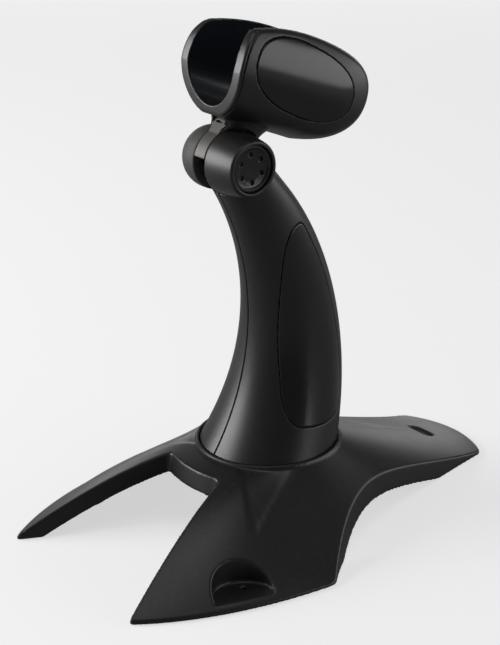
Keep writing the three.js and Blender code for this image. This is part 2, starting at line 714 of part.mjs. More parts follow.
// Everything in front of the cradle's front edge, drawn back by a depth.
function rimZone(depth) {
  const edge = frontEdge(new THREE.Path()).getPoints(5).map((p) => new THREE.Vector2(p.x + depth, p.y));
  const top = edge[edge.length - 1];
  const outline = [...edge, new THREE.Vector2(top.x + 2.5, 90), new THREE.Vector2(-60, 90),
    new THREE.Vector2(-60, bellyH - 6)];
  return prism(outline, -60, 60, 'x').intersect(box([-60, -70, bellyH - 1], [60, 60, 95]));
}

// Flared neck under the cradle, hollow inside for the tongue's root.
function neckBody() {
  const rings = [];
  for (let i = 0; i <= 6; i += 1) {
    const up = i / 6;
    const h = 8 + (neck.top + 4 - 8) * up;
    const wide = 8.4 + 7 * up ** 2.4;
    const front = -10.5 - 2.2 * up;
    const back = 12.5 + 14 * up ** 2.6;
    rings.push(roundedRing(wide, front, back, h));
  }
  return loft(rings);
}

function roundedRing(halfWidth, front, back, h, count = 32) {
  const ring = [];
  for (let i = 0; i < count; i += 1) {
    const angle = 2 * Math.PI * i / count;
    const c = Math.cos(angle);
    const s = Math.sin(angle);
    const x = halfWidth * Math.sign(c) * Math.abs(c) ** 0.7;
    const y = (front + back) / 2 + (back - front) / 2 * Math.sign(s) * Math.abs(s) ** 0.7;
    ring.push(new THREE.Vector3(x, y, h));
  }
  return ring;
}

const tongueRoot = { halfWidth: 5.6, front: -7.5, back: 11, bottom: bellyH - 0.5, top: bellyH + 1.8 };

// Front of the root: the strip spreads here, under the rim, and has a slit across it.
const tongueHead = { halfWidth: 6.4, bottom: 13.6, widest: 17.2, top: 19.8, front: -10.8, back: -8.6, lean: 0.29 };
const headSlit = { halfWidth: 2.5, bottom: 16.6, top: 17.6, back: -8 };

function tongueHeadBody(grow) {
  const { halfWidth, bottom, widest, top, front, back, lean } = tongueHead;
  const narrow = tongueHalfWidth + grow;
  const wide = halfWidth + grow;
  const outline = [[-narrow, bottom - grow], [narrow, bottom - grow], [wide, widest - grow],
    [wide, top + grow], [-wide, top + grow], [-wide, widest - grow]];
  const ring = (s) => outline.map(([x, h]) => new THREE.Vector3(x, s + (h - bottom) * lean, h));
  return loft([ring(back + grow), ring(front - grow)]);
}

// Tongue: a hub on the bolt, a round shroud that fills the front and top of the slot, and a root in the neck.
function cradleTongue() {
  const axis = [0, 0, 0];
  const w = tongueHalfWidth;
  const sector = [new THREE.Vector2(0, 0)];
  const from = Math.PI + 0.15;
  const to = Math.PI * 0.05;
  for (let i = 0; i <= 24; i += 1) {
    const angle = from + (to - from) * i / 24;
    sector.push(new THREE.Vector2(barrelRadius * Math.cos(angle), barrelRadius * Math.sin(angle)));
  }
  let body = cylinder(9.5, -w, w, 'x', axis, 20).add(prism(sector, -w, w, 'x'));
  body = body.add(prism([[-12.6, 8], [-9.4, tongueRoot.bottom + 1], [11, tongueRoot.bottom + 1], [12, 8]]
    .map(([a, b]) => new THREE.Vector2(a, b)), -w, w, 'x'));
  body = body.add(box([-tongueRoot.halfWidth, tongueRoot.front, tongueRoot.bottom],
    [tongueRoot.halfWidth, tongueRoot.back, tongueRoot.top]));
  body = body.add(tongueHeadBody(0)).subtract(box([-headSlit.halfWidth, -20, headSlit.bottom],
    [headSlit.halfWidth, headSlit.back, headSlit.top]));
  [1, -1].forEach((side) => {
    const near = w - washerThickness;
    const at = side > 0 ? [near, 30] : [-30, -near];
    body = body.subtract(cylinder(8 + gap, at[0], at[1], 'x', axis, 20));
  });
  body = body.subtract(cylinder(boltRadius + gap / 3, -30, 30, 'x', axis, 16));
  linerScrewSpots.forEach((s) => {
    body = body.subtract(cylinder(linerScrew.radius + gap / 2, tongueRoot.bottom - 6, 40, 'z', [0, s, 0], 16));
  });
  return body;
}

function tongueRoom() {
  const w = tongueHalfWidth + gap;
  const root = box([-tongueRoot.halfWidth - gap, tongueRoot.front - gap, 0],
    [tongueRoot.halfWidth + gap, tongueRoot.back + gap, tongueRoot.top + gap]);
  const stem = box([-w, -40, 0], [w, tongueRoot.back + 4, tongueRoot.bottom + 1 + gap]);
  return root.add(stem).add(tongueHeadBody(gap));
}

const linerScrewSpots = [-3, 7];
const linerScrew = { radius: 1.5, headRadius: 2.8, headHeight: 1.4, length: 8 };

function linerScrewBody(s) {
  const body = screwAlong('z', linerScrew.radius, linerScrew.headRadius, linerScrew.headHeight,
    linerScrew.length, [0, 0, 0]);
  return body.mirror([0, 0, 1]).translate([0, s, troughH - 0.1]);
}

function linerScrewRoom(s) {
  return cylinder(linerScrew.radius + gap / 2, 0, 40, 'z', [0, s, 0], 16)
    .add(cylinder(linerScrew.headRadius + gap, troughH - linerScrew.headHeight - 0.1 - gap, 60, 'z', [0, s, 0], 16));
}

function cradleShell() {
  const sideView = prism(cradleSide(), -60, 60, 'x');
  let body = cradleBody(0).intersect(sideView).add(neckBody().intersect(box([-40, -40, 0], [40, 60, neck.top])));
  body = body.subtract(trough(linerWall + gap));
  body = body.subtract(rimZone(rimDepth + gap));
  body = body.subtract(cylinder(barrelRadius + neckClearance + gap, -60, 60, 'x', [0, 0, 0], 32));
  body = body.subtract(tongueRoom());
  [1, -1].forEach((side) => {
    body = body.subtract(cradleInlayBand(side, gap));
  });
  linerScrewSpots.forEach((s) => {
    body = body.subtract(linerScrewRoom(s));
  });
  return body;
}

function cradleLiner() {
  const whole = cradleBody(0).intersect(prism(cradleSide(), -60, 60, 'x')).subtract(trough(0));
  let body = whole.intersect(trough(linerWall).add(rimZone(rimDepth))).subtract(tongueHeadBody(gap));
  linerScrewSpots.forEach((s) => {
    body = body.subtract(linerScrewRoom(s));
  });
  return body;
}

const cradleOval = { s: 15.5, h: 47.5, halfLength: 33, halfHeight: 17, turn: -0.09 };

function ovalPlan(grow) {
  const points = [];
  for (let i = 0; i < 28; i += 1) {
    const angle = 2 * Math.PI * i / 28;
    const c = Math.cos(angle);
    const s = Math.sin(angle);
    const a = (cradleOval.halfLength + grow) * Math.sign(c) * Math.abs(c) ** 0.86;
    const b = (cradleOval.halfHeight + grow) * Math.sign(s) * Math.abs(s) ** 0.86;
    points.push(new THREE.Vector2(
      cradleOval.s + a * Math.cos(cradleOval.turn) - b * Math.sin(cradleOval.turn),
      cradleOval.h + a * Math.sin(cradleOval.turn) + b * Math.cos(cradleOval.turn),
    ));
  }
  return points;
}

function cradleInlayBand(side, grow) {
  const from = side > 0 ? 6 : -60;
  return cradleBody(-grow).subtract(cradleBody(inlayDepth + grow))
    .intersect(prism(ovalPlan(grow), from, from + 54, 'x'));
}

// ---------- assembly ----------
const column = new THREE.Group();
column.add(part('base_shell', baseShell(), colours.shell));
padSpots.forEach((spot, i) => column.add(part(`foot_pad_${i + 1}`, footPad(spot), colours.rubber)));
column.add(part('clamp_plate', clampPlate(), colours.steel));
screwSpots.forEach((spot, i) => column.add(part(`base_screw_${i + 1}`, baseScrewBody(spot), colours.steel)));
column.add(part('column_left', columnHalf(-1), colours.shell));
column.add(part('column_right', columnHalf(1), colours.shell));
column.add(part('column_inlay_left', insetBand(-1, 0), colours.gloss));
column.add(part('column_inlay_right', insetBand(1, 0), colours.gloss));
joinScrewHeights.forEach((z, i) => column.add(part(`column_screw_${i + 1}`, joinScrewBody(z), colours.steel)));
column.add(part('hinge_dome', hingeDome(), colours.dome));
column.add(part('hinge_disc', hingeDisc(), colours.shell));
column.add(part('pivot_bolt', pivotBolt(), colours.steel));
column.add(part('pivot_nut', pivotNut(), colours.steel));
column.add(part('friction_washer_left', frictionWasher(-1), colours.steel));
column.add(part('friction_washer_right', frictionWasher(1), colours.steel));

const cradle = new THREE.Group();
cradle.add(part('cradle_shell', cradleShell(), colours.shell));
cradle.add(part('cradle_tongue', cradleTongue(), colours.tongue));
cradle.add(part('cradle_liner', cradleLiner(), colours.gloss));
cradle.add(part('cradle_inlay_left', cradleInlayBand(-1, 0), colours.gloss));
cradle.add(part('cradle_inlay_right', cradleInlayBand(1, 0), colours.gloss));
linerScrewSpots.forEach((s, i) => cradle.add(part(`liner_screw_${i + 1}`, linerScrewBody(s), colours.steel)));
cradle.position.set(0, hingeY, hingeZ);
cradle.rotation.x = -cradleTilt;

const stand = new THREE.Group();
stand.add(column, cradle);
const frontmost = Math.min(...baseOutline().map((p) => p.y));
stand.position.y = -(frontmost + rearReach) / 2;

export default stand;
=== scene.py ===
"""Hands-free stand for a handheld barcode scanner: the finished surfaces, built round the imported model.

Shapes are drawn in millimetres, either about the column's foot or in the cradle's own frame
(x across, s along the trough towards the rear, h up from the hinge), and then brought to metres.
"""
import json
import math

import bmesh
import bpy
import numpy as np
from mathutils import Matrix, Vector


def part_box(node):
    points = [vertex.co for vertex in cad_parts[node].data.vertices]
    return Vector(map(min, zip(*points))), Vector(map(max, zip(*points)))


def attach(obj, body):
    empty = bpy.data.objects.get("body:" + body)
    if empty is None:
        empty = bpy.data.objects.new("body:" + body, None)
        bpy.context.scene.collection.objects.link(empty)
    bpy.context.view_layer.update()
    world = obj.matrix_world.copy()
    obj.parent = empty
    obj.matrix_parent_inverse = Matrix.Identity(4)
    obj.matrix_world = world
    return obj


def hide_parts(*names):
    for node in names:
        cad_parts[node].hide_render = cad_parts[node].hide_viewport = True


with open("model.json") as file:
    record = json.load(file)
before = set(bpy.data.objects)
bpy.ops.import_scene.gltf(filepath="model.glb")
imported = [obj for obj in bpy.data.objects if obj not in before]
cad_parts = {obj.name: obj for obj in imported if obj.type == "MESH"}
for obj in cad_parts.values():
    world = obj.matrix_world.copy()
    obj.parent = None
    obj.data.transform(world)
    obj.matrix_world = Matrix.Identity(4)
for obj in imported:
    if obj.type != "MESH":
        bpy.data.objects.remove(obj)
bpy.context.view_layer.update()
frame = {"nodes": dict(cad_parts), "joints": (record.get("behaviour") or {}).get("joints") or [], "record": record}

# ---------------------------------------------------------------- sizes, in millimetres
MM = 0.001
GAP = 0.3                        # clearance between pieces that touch

FOOT_HALF_WIDTH = 88.0           # oval that the three feet end on
FRONT_REACH = 159.0
REAR_REACH = 144.0
FRONT_CORNER_X = 51.5
SIDE_CORNER_Y = -28.0
REAR_CORNER_X = 31.8
NOTCH_CORNER = (20.8, -49.4)
NOTCH_BULGE = 4.0
WAIST_LEAD = 40.0
WAIST_WIDTH = 7.6
WAIST_Y = 41.0
SEAT_Z = 41.0
TIP_Z = 2.4
ARCH_POWER = 1.55
FLARE_POWER = 1.32
ARCHED_TO = math.radians(-62)
FLARED_FROM = math.radians(-12)
SKIRT = 10.5
SHELL_LIFT = 0.5
SHELL_WALL = 2.6
DRAFT = 1.7                      # side walls lean out by this much from their top to their bottom edge
LIP_HEIGHT = 1.6
LIP_WIDTH = 2.0

SCOOP_MIDDLE = (70.5, -74.0)
SCOOP_ANGLE = math.radians(-25)
SCOOP_HALF_WIDTH = 15.5
SCOOP_DEPTH = 12.5
SCOOP_FLOOR_Z = 4.4
FOOT_SCREW_RADIUS = 1.7
FOOT_SCREW_DEPTH = 2.6           # the screw holes are drawn blind
SCOOP_POST_Z = 0.8               # underside of the solid post below a scoop
KEYHOLE_Y = 117.0
KEYHOLE_HALF_LENGTH = 9.0
KEYHOLE_HALF_WIDTH = 4.4
KEYHOLE_FLOOR_Z = 6.6
KEYHOLE_SCREW_DEPTH = 2.8
POST_WALL = 1.8                  # wall left round a scoop or the keyhole
# V facet pressed into each front foot: its point, and where it meets the collar
FACET_TIP = (56.8, -57.5)
FACET_FRONT = (17.4, -36.2)
FACET_REAR = (35.5, -13.7)
REAR_FACET_TIP = (0.0, 101.0)
REAR_FACET_HALF_WIDTH = 14.0
FACET_DEPTH = 0.6
FACET_SLOPE_WIDTH = 2.2

COLUMN_FOOT_HALF_WIDTH = 36.4
COLUMN_NECK_HALF_WIDTH = 17.0
FRONT_ARC = (-145.2, 116.0, 131.0)       # centre y, centre z, radius
BACK_ARC = (-107.8, 84.0, 151.0)
INLAY_DEPTH = 1.5
INLAY_FOOT = 59.0
INLAY_HEAD = 164.0
SEAM_LIP_INSET = 1.4             # how far the lip across the seam lies under the column's surface

HINGE_Y = -29.0                  # from the column's foot
BARREL_RADIUS = 16.0
BARREL_END_RADIUS = 13.9
BARREL_HALF_LENGTH = 23.2
SLOT_HALF_WIDTH = 4.3
TONGUE_HALF_WIDTH = 4.0
DISC_RADIUS = 11.6
DISC_RECESS = 1.2
DISC_HOLE_CIRCLE = 7.0
DISC_HOLE_TURN = 0.59
DISC_HOLE_RADIUS = 1.3
BOLT_RADIUS = 3.0
BOLT_HEAD_RADIUS = 5.5
BOLT_HEAD_X = 13.2
DOME_BOSS_RADIUS = 11.5
DOME_SEAT = 9.2
DOME_STRAIGHT = 8.6
DOME_END = 23.4
WEB_FRONT = 3.0                  # web of the dome's boss, rearward from the hinge
WEB_BACK = 10.0
SWING_HALF_WIDTH = 10.5

CRADLE_TILT = math.radians(22)
TROUGH_HALF_WIDTH = 17.6
CRADLE_HALF_WIDTH = 23.6
CRADLE_BULGE = 1.4
BELLY_H = 18.0
TROUGH_H = 23.2
SIDE_H = 43.0
LINER_WALL = 2.0
RIM_DEPTH = 1.8
NECK_TOP = BELLY_H + 4
NECK_CLEARANCE = 0.6

HEAD_HALF_WIDTH = 6.4            # head of the tongue, under the rim
HEAD_BOTTOM = 13.6
HEAD_WIDEST = 17.2
HEAD_TOP = 19.8
HEAD_FRONT = -10.8
HEAD_BACK = -8.6
HEAD_LEAN = 0.29                 # rearward run for each unit of rise
SLIT_HALF_WIDTH = 2.5
SLIT_BOTTOM = 16.6
SLIT_TOP = 17.6
SLIT_BACK = -8.0
ROOT_HALF_WIDTH = 5.6            # root of the tongue, inside the neck
ROOT_FRONT = -7.5
ROOT_BACK = 11.0
ROOT_BOTTOM = BELLY_H - 0.5
ROOT_TOP = BELLY_H + 1.8

OVAL_MIDDLE = (15.5, 47.5)       # oval inlay in the cradle's sides, in (s, h)
OVAL_HALF_LENGTH = 33.0
OVAL_HALF_HEIGHT = 17.0
OVAL_TURN = -0.09
OVAL_SQUARENESS = 0.86

# ---------------------------------------------------------------- places, from the frame
tilt_joint = next(j for j in frame["joints"] if j["name"] == "cradle_tilt")
hinge = Vector(tilt_joint["pos_m"])
HINGE_Z = hinge.z / MM
COLUMN_TOP_Z = HINGE_Z + 6.1
COLUMN_NECK_Z = HINGE_Z - 14.9           # above this the column keeps its neck's width
SHOULDER_Z = HINGE_Z - 18.9
stand_to_frame = Matrix.Translation((0, hinge.y - HINGE_Y * MM, 0)) @ Matrix.Scale(MM, 4)
cradle_to_frame = Matrix.Translation(hinge) @ Matrix.Rotation(-CRADLE_TILT, 4, "X") @ Matrix.Scale(MM, 4)


# ---------------------------------------------------------------- mesh helpers
def mesh_object(name, points, faces):
    mesh = bpy.data.meshes.new(name)
    mesh.from_pydata([tuple(map(float, p)) for p in points], [], [tuple(map(int, f)) for f in faces])
    mesh.update()
    piece = bpy.data.objects.new(name, mesh)
    bpy.context.scene.collection.objects.link(piece)
    return piece


def loft(rings, name="tool"):
    """A closed body through rings of equally many points, with a flat face over each end."""
    rings = [np.asarray(ring, float) for ring in rings]
    count = len(rings[0])
    faces = []
    for r in range(len(rings) - 1):
        for i in range(count):
            j = (i + 1) % count
            faces.append((r * count + i, r * count + j, (r + 1) * count + j, (r + 1) * count + i))
    faces.append(range(count - 1, -1, -1))
    last = (len(rings) - 1) * count
    faces.append(range(last, last + count))
    body = mesh_object(name, np.concatenate(rings), faces)
    face_outwards(body)
    return body


def face_outwards(body):
    work = bmesh.new()
    work.from_mesh(body.data)
    bmesh.ops.recalc_face_normals(work, faces=work.faces)
    if work.calc_volume(signed=True) < 0:
        bmesh.ops.reverse_faces(work, faces=work.faces)
    work.to_mesh(body.data)
    work.free()


def prism(outline, low, high, axis="z"):
    """A prism of an outline: (x, y) points along z, or (y, z) points along x."""
    outline = np.asarray(outline, float)
    rings = []
    for level in (low, high):
        column = np.full((len(outline), 1), level)
        ring = np.hstack([outline, column]) if axis == "z" else np.hstack([column, outline])
        rings.append(ring)
    return loft(rings)


def box(low, high):
    outline = [(low[0], low[1]), (high[0], low[1]), (high[0], high[1]), (low[0], high[1])]
    return prism(outline, low[2], high[2])


def turned(profile, centre=(0, 0, 0), axis="x", segments=96):
    """A solid of revolution from (radius, distance along the axis) pairs that start and end on the axis."""
    angles = np.linspace(0, 2 * math.pi, segments, endpoint=False)
    rings = []
    for radius, along in profile:
        radius = max(radius, 1e-4)
        a = radius * np.cos(angles)
        b = radius * np.sin(angles)
        c = np.full(segments, along)
        ring = np.stack([c, a, b], 1) if axis == "x" else np.stack([a, b, c], 1)
        rings.append(ring + np.asarray(centre, float))
    return loft(rings)


def cylinder(radius, low, high, centre=(0, 0, 0), axis="x", segments=96):
    return turned([(radius, low), (radius, high)], centre, axis, segments)


def apply_modifiers(body):
    graph = bpy.context.evaluated_depsgraph_get()
    mesh = bpy.data.meshes.new_from_object(body.evaluated_get(graph))
    old = body.data
    body.modifiers.clear()
    body.data = mesh
    bpy.data.meshes.remove(old)


def combine(body, tool, operation):
    step = body.modifiers.new(operation, "BOOLEAN")
    step.operation = operation
    step.solver = "EXACT"
    step.object = tool
    apply_modifiers(body)
    mesh = tool.data
    bpy.data.objects.remove(tool)
    bpy.data.meshes.remove(mesh)
    return body


def cut(body, *tools):
    for tool in tools:
        combine(body, tool, "DIFFERENCE")
    return body


def join(body, *tools):
    for tool in tools:
        combine(body, tool, "UNION")
    return body


def within(body, tool):
    return combine(body, tool, "INTERSECT")


def soften(body, voxel, rounds):
    """Rounds every edge as a mould does: an even mesh of the body, then relaxed."""
    grid = body.modifiers.new("grid", "REMESH")
    grid.mode = "VOXEL"
    grid.voxel_size = voxel
    grid.adaptivity = 0
    relax = body.modifiers.new("relax", "SMOOTH")
    relax.factor = 0.5
    relax.iterations = rounds
    apply_modifiers(body)
    return body


def place(body, name, to_frame, material, rides, slot, *nodes):
    """Brings a finished piece to its place, gives it its finish and ties it to the frame."""
    body.name = name
    body.data.name = name
    body.data.transform(to_frame)
    body.data.update()
    for face in body.data.polygons:
        face.use_smooth = True
    body.data.materials.clear()
    body.data.materials.append(material)
    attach(body, rides)
    if nodes:
        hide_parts(*nodes)
    return body


def smooth_step(low, high, value):
    t = np.clip((value - low) / (high - low), 0, 1)
    return t * t * (3 - 2 * t)


def signed_power(value, power):
    return np.sign(value) * np.abs(value) ** power


def shift_outline(outline, distance):
    """Moves each point of an anticlockwise outline outwards, by one distance or a distance for each."""
    before = np.roll(outline, 1, 0)
    after = np.roll(outline, -1, 0)
    a = outline - before
    b = after - outline
    a /= np.linalg.norm(a, axis=1)[:, None]
    b /= np.linalg.norm(b, axis=1)[:, None]
    normal = np.stack([a[:, 1] + b[:, 1], -(a[:, 0] + b[:, 0])], 1)
    normal /= np.linalg.norm(normal, axis=1)[:, None]
    stretch = np.maximum(0.5, normal[:, 0] * a[:, 1] - normal[:, 1] * a[:, 0])
    return outline + normal * (distance / stretch)[:, None]


def offset_outline(outline, distance):
    """An outline moved outwards by a distance; points that fold over are left out."""
    outline = np.asarray(outline, float)
    after = np.roll(outline, -1, 0)
    moved = shift_outline(outline, distance)
    gaps = [distance_to_outline(p, outline, after) for p in moved]
    return moved[np.array(gaps) > abs(distance) * 0.96 - 1e-6]


def distance_to_outline(point, starts, ends):
    run = ends - starts
    share = np.clip(((point - starts) * run).sum(1) / (run * run).sum(1), 0, 1)
    return np.linalg.norm(point - starts - run * share[:, None], axis=1).min()


def bezier(points, count):
    """Points along a quadratic or cubic Bezier curve, both ends included."""
    points = np.asarray(points, float)
    t = np.linspace(0, 1, count)[:, None]
    order = len(points) - 1
    return sum(math.comb(order, k) * (1 - t) ** (order - k) * t ** k * points[k] for k in range(order + 1))


# ---------------------------------------------------------------- shapes of the stand
def arc_y(arc, z):
    return arc[0] + math.sqrt(max(0, arc[2] ** 2 - (z - arc[1]) ** 2))


def column_half_width(z):
    up = max(0, (COLUMN_NECK_Z - z) / (COLUMN_NECK_Z - SEAT_Z))
    return COLUMN_NECK_HALF_WIDTH + (COLUMN_FOOT_HALF_WIDTH - COLUMN_NECK_HALF_WIDTH) * up ** 1.9


def shoulder_y(z):
    """Back of the shoulder: the straight line from the back edge that just touches the barrel."""
    across = arc_y(BACK_ARC, SHOULDER_Z) - HINGE_Y
    down = SHOULDER_Z - HINGE_Z
    radius = BARREL_RADIUS - GAP
    touch = math.atan2(down, across) + math.acos(radius / math.hypot(across, down))
    return HINGE_Y + (radius - (z - HINGE_Z) * math.sin(touch)) / math.cos(touch)


def column_ring(z, inset, count=96):
    front = max(arc_y(FRONT_ARC, z), HINGE_Y - BARREL_RADIUS * 0.66) + inset
    back = (shoulder_y(z) if z > SHOULDER_Z else arc_y(BACK_ARC, z)) - inset
    half_width = column_half_width(z) - inset
    angle = np.linspace(0, 2 * math.pi, count, endpoint=False)
    x = half_width * np.cos(angle)
    y = (front + back) / 2 + (back - front) / 2 * np.sin(angle)
    return np.stack([x, y, np.full(count, z)], 1)


def column_body(inset, low, high, steps=56):
    return loft([column_ring(z, inset) for z in np.linspace(low, high, steps + 1)])


foot_front = arc_y(FRONT_ARC, SEAT_Z)
foot_back = arc_y(BACK_ARC, SEAT_Z + LIP_HEIGHT)
COLLAR_Y = (foot_front + foot_back) / 2
COLLAR_HALF_X = COLUMN_FOOT_HALF_WIDTH
COLLAR_HALF_Y = (foot_back - foot_front) / 2


def collar_outline(grow, count=120):
    angle = np.linspace(0, 2 * math.pi, count, endpoint=False)
    x = (COLLAR_HALF_X + grow) * np.cos(angle)
    return np.stack([x, COLLAR_Y + (COLLAR_HALF_Y + grow) * np.sin(angle)], 1)


def foot_oval_x(y):
    reach = FRONT_REACH if y < 0 else REAR_REACH
    return FOOT_HALF_WIDTH * math.sqrt(max(0, 1 - (y / reach) ** 2))


def foot_oval_y(x, reach):
    return reach * math.sqrt(1 - (x / FOOT_HALF_WIDTH) ** 2)


def rounded(path, corner, towards, radius):
    """Adds a round corner between the path's last point and the next one."""
    corner = np.asarray(corner, float)
    back = path[-1] - corner
    ahead = np.asarray(towards, float) - corner
    start = corner + back / np.linalg.norm(back) * radius
    end = corner + ahead / np.linalg.norm(ahead) * radius
    path.extend(bezier([start, corner, end], 7))


def base_outline():
    """Plan of the base, anticlockwise from the middle of the notch."""
    notch = np.array(NOTCH_CORNER)
    tip = np.array([FRONT_CORNER_X, -foot_oval_y(FRONT_CORNER_X, FRONT_REACH)])
    side = np.array([foot_oval_x(SIDE_CORNER_Y), SIDE_CORNER_Y])
    rear = np.array([REAR_CORNER_X, foot_oval_y(REAR_CORNER_X, REAR_REACH)])
    path = []
    for x in np.linspace(0, NOTCH_CORNER[0] - 4, 12):
        path.append(np.array([x, NOTCH_CORNER[1] - NOTCH_BULGE * (1 - (x / NOTCH_CORNER[0]) ** 2)]))
    rounded(path, notch, tip, 4)
    for share in np.linspace(0.1, 0.92, 24):
        path.append(notch + (tip - notch) * share)
    rounded(path, tip, (foot_oval_x(tip[1] + 8), tip[1] + 8), 3)
    for y in np.linspace(tip[1] + 6, side[1] - 5, 36):
        path.append(np.array([foot_oval_x(y), y]))
    leaving = side + np.array([-WAIST_LEAD, WAIST_LEAD])
    waist = bezier([side, leaving, (COLLAR_HALF_X + WAIST_WIDTH, WAIST_Y), rear], 72)
    rounded(path, side, waist[4], 3)
    path.extend(waist[3:-2])
    rounded(path, rear, (rear[0] - 8, foot_oval_y(rear[0] - 8, REAR_REACH)), 3)
    for x in np.linspace(rear[0] - 5, 0, 12):
        path.append(np.array([x, foot_oval_y(x, REAR_REACH)]))
    half = [path[0]]
    for point in path[1:]:
        if np.linalg.norm(point - half[-1]) > 0.5:
            half.append(point)
    mirrored = [np.array([-p[0], p[1]]) for p in half[1:-1]][::-1]
    return np.array(half + mirrored)


def depth_inside(x, y, tip, edge, inner):
    """Distance of points from the line tip-edge, counted towards the inner point."""
    tip = np.array(tip)
    run = (np.array(edge) - tip) / np.linalg.norm(np.array(edge) - tip)
    normal = np.array([-run[1], run[0]])
    if normal @ (np.array(inner) - tip) < 0:
        normal = -normal
    return (x - tip[0]) * normal[0] + (y - tip[1]) * normal[1]


def facet_depth(x, y):
    """How far the V facets of the feet are pressed into the crown at a point."""
    across = np.abs(x)
    front = np.minimum(depth_inside(across, y, FACET_TIP, FACET_FRONT, FACET_REAR),
                       depth_inside(across, y, FACET_TIP, FACET_REAR, FACET_FRONT))
    corner = (REAR_FACET_HALF_WIDTH, COLLAR_HALF_Y)
    rear = depth_inside(across, y, REAR_FACET_TIP, corner, (0, COLLAR_HALF_Y))
    rear = np.where(y > 0, rear, 0)
    return FACET_DEPTH * np.clip(np.maximum(front, rear) / FACET_SLOPE_WIDTH, 0, 1)


def crown_height(x, y):
    """Crown of the base: flat inside the collar, arched to the front feet, flared elsewhere."""
    x, y = np.asarray(x, float), np.asarray(y, float)
    angle = np.arctan2(y, np.abs(x))
    side_share = np.cos(angle) / (COLLAR_HALF_X + LIP_WIDTH)
    end_share = np.sin(angle) / (COLLAR_HALF_Y + LIP_WIDTH)
    inner = 1 / np.hypot(side_share, end_share)
    reach = np.where(y < 0, FRONT_REACH, REAR_REACH)
    outer = 1 / np.hypot(np.cos(angle) / FOOT_HALF_WIDTH, np.sin(angle) / reach)
    along = np.maximum(0, (np.hypot(x, y) - inner) / (outer - inner))
    arched = 1 - along ** ARCH_POWER
    flared = signed_power(1 - along, FLARE_POWER)
    sideways = smooth_step(ARCHED_TO, FLARED_FROM, angle)
    return TIP_Z + (SEAT_Z - TIP_Z) * (arched + (flared - arched) * sideways)


def under_crown(lower, facets=False, lanes=240, rings=60):
    """Everything under the crown lowered by a distance, down to well below the floor."""
    angle = np.linspace(0, 2 * math.pi, lanes, endpoint=False)
    reach = np.where(np.sin(angle) < 0, FRONT_REACH, REAR_REACH)
    layers = []
    for share in np.concatenate([[0.01], np.linspace(0.2, 1.12, rings)]):
        x = FOOT_HALF_WIDTH * np.cos(angle) * share
        y = reach * np.sin(angle) * share
        z = crown_height(x, y) - lower
        if facets:
            z = z - facet_depth(x, y)
        layers.append(np.stack([x, y, z], 1))
    floor = layers[-1].copy()
    floor[:, 2] = -60
    return loft(layers + [floor])


def drafted_wall(outline):
    """Body inside the base's side walls, which lean out towards their lower edge."""
    crown = crown_height(outline[:, 0], outline[:, 1])
    low = np.maximum(crown - SKIRT, SHELL_LIFT + 0.05)
    lean = DRAFT * (crown - low) / SKIRT
    wide = shift_outline(outline, lean)
    ring = lambda plan, z: np.hstack([plan, np.asarray(z).reshape(-1, 1)])
    level = np.full(len(outline), SHELL_LIFT)
    return loft([ring(wide, level), ring(wide, low), ring(outline, crown - 0.3), ring(outline, level + 75)])


def scoop_plan(side, grow):
    out = np.array([math.cos(SCOOP_ANGLE), math.sin(SCOOP_ANGLE)])
    across = np.array([-out[1], out[0]])
    points = []
    for angle in np.linspace(0, math.pi, 40):
        along = across * (SCOOP_HALF_WIDTH + grow) * math.cos(angle)
        points.append(np.array(SCOOP_MIDDLE) + along - out * (SCOOP_DEPTH + grow) * math.sin(angle))
    points += [points[-1] + out * 24, points[0] + out * 24]
    return np.array(points) * (side, 1)


def keyhole_plan(grow):
    points = []
    straight = KEYHOLE_HALF_LENGTH - KEYHOLE_HALF_WIDTH
    for end in (1, -1):
        for angle in np.linspace(-math.pi / 2, math.pi / 2, 20):
            radius = KEYHOLE_HALF_WIDTH + grow
            x = end * (straight + radius * math.cos(angle))
            points.append((x, KEYHOLE_Y + end * radius * math.sin(angle)))
    return np.array(points)


def base_shell():
    outline = base_outline()
    body = within(under_crown(0, facets=True), drafted_wall(outline))
    posts = prism(keyhole_plan(POST_WALL), KEYHOLE_FLOOR_Z - 4, 40)
    for side in (1, -1):
        join(posts, prism(scoop_plan(side, POST_WALL), SCOOP_POST_Z, 40))
    for number in range(1, 7):
        low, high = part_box(f"foot_pad_{number}")
        middle = stand_to_frame.inverted() @ ((low + high) / 2)
        radius = (high.x - low.x) / 2 / MM + 1.6
        join(posts, cylinder(radius, SHELL_LIFT, 40, (middle.x, middle.y, 0), "z", 48))
    within(posts, under_crown(SHELL_WALL - 0.4))
    hollow = within(under_crown(SHELL_WALL), prism(offset_outline(outline, -SHELL_WALL), -50, 60))
    join(hollow, under_crown(SKIRT))
    cut(hollow, posts)
    cut(body, hollow)
    lip = prism(collar_outline(LIP_WIDTH), SEAT_Z - 1, SEAT_Z + LIP_HEIGHT)
    join(body, cut(lip, prism(collar_outline(GAP), SEAT_Z - 0.5, SEAT_Z + LIP_HEIGHT + 1)))
    for side in (1, -1):
        screw = (side * (SCOOP_MIDDLE[0] - 5.5), SCOOP_MIDDLE[1] + 4.4, 0)
        cut(body, prism(scoop_plan(side, 0), SCOOP_FLOOR_Z, 60))
        cut(body, cylinder(FOOT_SCREW_RADIUS, SCOOP_FLOOR_Z - FOOT_SCREW_DEPTH, 30, screw, "z", 40))
    cut(body, prism(keyhole_plan(0), KEYHOLE_FLOOR_Z, 60))
    hole_bottom = KEYHOLE_FLOOR_Z - KEYHOLE_SCREW_DEPTH
    cut(body, cylinder(FOOT_SCREW_RADIUS, hole_bottom, 40, (-1, KEYHOLE_Y - 2, 0), "z", 40))
    return soften(body, 0.7, 4)


